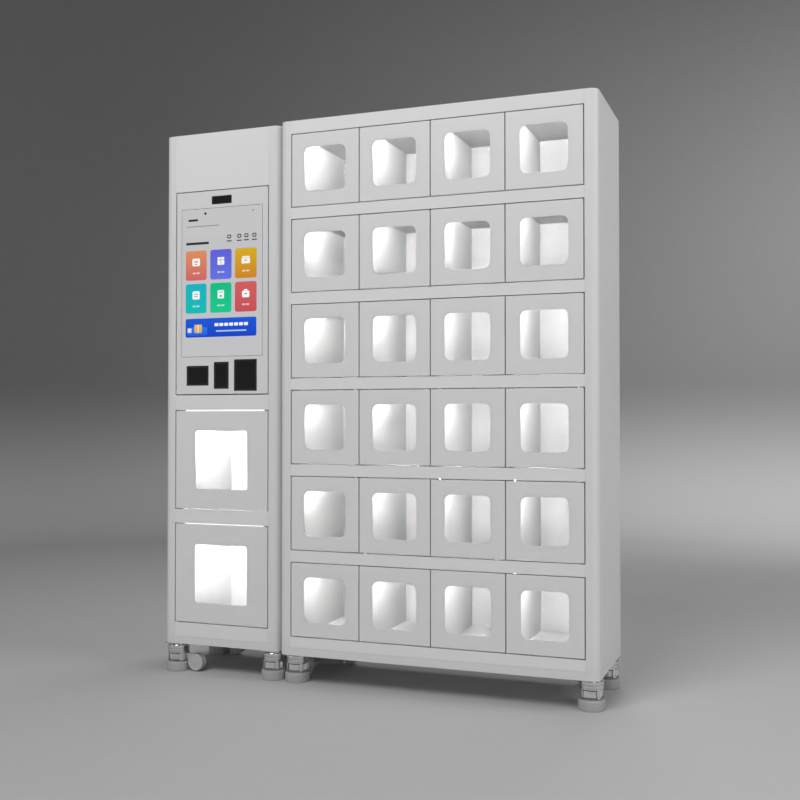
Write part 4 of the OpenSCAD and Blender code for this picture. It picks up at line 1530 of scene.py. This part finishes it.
class LOCKER_OT_stage(bpy.types.Operator):
    """Round studio with soft lights and the camera"""

    bl_idname = "locker.stage"
    bl_label = "Stage"

    def execute(self, context):
        s = context.scene.locker_stage
        self.backdrop(s)
        self.light("Key softbox", (-0.5, -4.0, 4.9), (0, 0, 1.0), 2.4, s.key)
        self.light("Side softbox", (4.0, -0.4, 2.8), (0.6, 0, 0.9), 2.0, s.fill)
        self.light("Backdrop light", (3.8, 2.0, 3.0), (1.2, 5.8, 2.1), 1.6, s.back, spread=85)
        self.light("Rear light", (0.4, 2.6, 4.2), (0.2, 0.2, 0.6), 1.4, s.rear)
        self.light("Left strip", (-3.7, -3.4, 0.8), (-0.3, 0, 0.2), 0.05, s.strip, 1.2)
        self.light("Right strip", (3.0, -3.2, 0.8), (0.7, 0, 0.2), 0.05, s.strip, 1.2)
        self.world(context.scene, s.air)
        self.camera(context.scene, s)
        context.scene.view_settings.view_transform = "Standard"
        return {"FINISHED"}

    def backdrop(self, s):
        """Flat floor that rises smoothly into a round wall."""
        form = Form()
        rise = 1.2
        profile = [(0.02, 0.0), (s.radius * 0.5, 0.0), (s.radius, 0.0)]
        for step in range(1, 13):
            angle = math.radians(90 * step / 12)
            profile.append((s.radius + rise * math.sin(angle), rise * (1 - math.cos(angle))))
        profile.append((s.radius + rise, s.wall))
        rings = [
            [form.bm.verts.new((u, v, height)) for u, v in circle(radius, 128)]
            for radius, height in profile
        ]
        for a, b in zip(rings, rings[1:]):
            for i in range(len(a)):
                j = (i + 1) % len(a)
                form.bm.faces.new((a[i], a[j], b[j], b[i]))
        form.bm.faces.new(rings[0])
        mesh = form.mesh("Backdrop", smooth=80)
        mesh.materials.append(backdrop_painted_shade(s))
        floor = bpy.data.objects.new("Backdrop", mesh)
        bpy.context.scene.collection.objects.link(floor)

    def light(self, name, place, target, width, power, height=0.0, spread=180):
        """Softbox aimed at a point, square unless it has a height. Spread is in degrees."""
        data = bpy.data.lights.new(name, "AREA")
        data.shape = "RECTANGLE"
        data.size, data.size_y = width, height or width
        data.energy = power
        data.spread = math.radians(spread)
        lamp = bpy.data.objects.new(name, data)
        bpy.context.scene.collection.objects.link(lamp)
        lamp.location = place
        aim = Vector(target) - Vector(place)
        lamp.rotation_euler = aim.to_track_quat("-Z", "Y").to_euler()

    def world(self, scene, strength):
        """Even grey light from all round."""
        world = bpy.data.worlds.new("Studio air")
        world.use_nodes = True
        world.node_tree.nodes["Background"].inputs["Color"].default_value = (0.98, 0.99, 1.0, 1)
        world.node_tree.nodes["Background"].inputs["Strength"].default_value = strength
        scene.world = world

    def camera(self, scene, s):
        """Camera at standing height, to the right of the front."""
        data = bpy.data.cameras.new("Camera")
        data.lens = s.lens
        data.sensor_width = 36
        camera = bpy.data.objects.new("Camera", data)
        camera.location = (1.3844, -3.4937, 0.9149)
        camera.rotation_euler = (math.radians(91.044), 0, math.radians(20.776))
        scene.collection.objects.link(camera)
        scene.camera = camera


# ---- panel ----

OPERATORS = (
    LOCKER_OT_stage, LOCKER_OT_control_casing, LOCKER_OT_locker_casing, LOCKER_OT_cells,
    LOCKER_OT_light_bars, LOCKER_OT_locker_doors, LOCKER_OT_compartment_doors,
    LOCKER_OT_screen_door, LOCKER_OT_touch_screen, LOCKER_OT_readers, LOCKER_OT_electronics,
    LOCKER_OT_casters,
)

SETTINGS = (
    ("locker_cabinet", CabinetSettings), ("locker_doors", DoorSettings),
    ("locker_screen", ScreenSettings), ("locker_casters", CasterSettings),
    ("locker_finish", FinishSettings), ("locker_stage", StageSettings),
)


class LOCKER_PT_panel(bpy.types.Panel):
    """Builds the locker piece by piece"""

    bl_idname = "LOCKER_PT_panel"
    bl_label = "Parcel Locker"
    bl_space_type = "VIEW_3D"
    bl_region_type = "UI"
    bl_category = "Parcel Locker"

    def draw(self, context):
        for operator in OPERATORS:
            self.layout.operator(operator.bl_idname)
        for name, group in SETTINGS:
            box = self.layout.box()
            box.label(text=group.__doc__)
            for prop in group.__annotations__:
                box.prop(getattr(context.scene, name), prop)


def register():
    for name, group in SETTINGS:
        bpy.utils.register_class(group)
        setattr(bpy.types.Scene, name, bpy.props.PointerProperty(type=group))
    for cls in (*OPERATORS, LOCKER_PT_panel):
        bpy.utils.register_class(cls)


def unregister():
    for cls in (LOCKER_PT_panel, *reversed(OPERATORS)):
        bpy.utils.unregister_class(cls)
    for name, group in reversed(SETTINGS):
        delattr(bpy.types.Scene, name)
        bpy.utils.unregister_class(group)


def main():
    """Builds everything."""
    register()
    for operator in OPERATORS:
        group, name = operator.bl_idname.split(".")
        getattr(getattr(bpy.ops, group), name)()


if __name__ == "__main__":
    main()
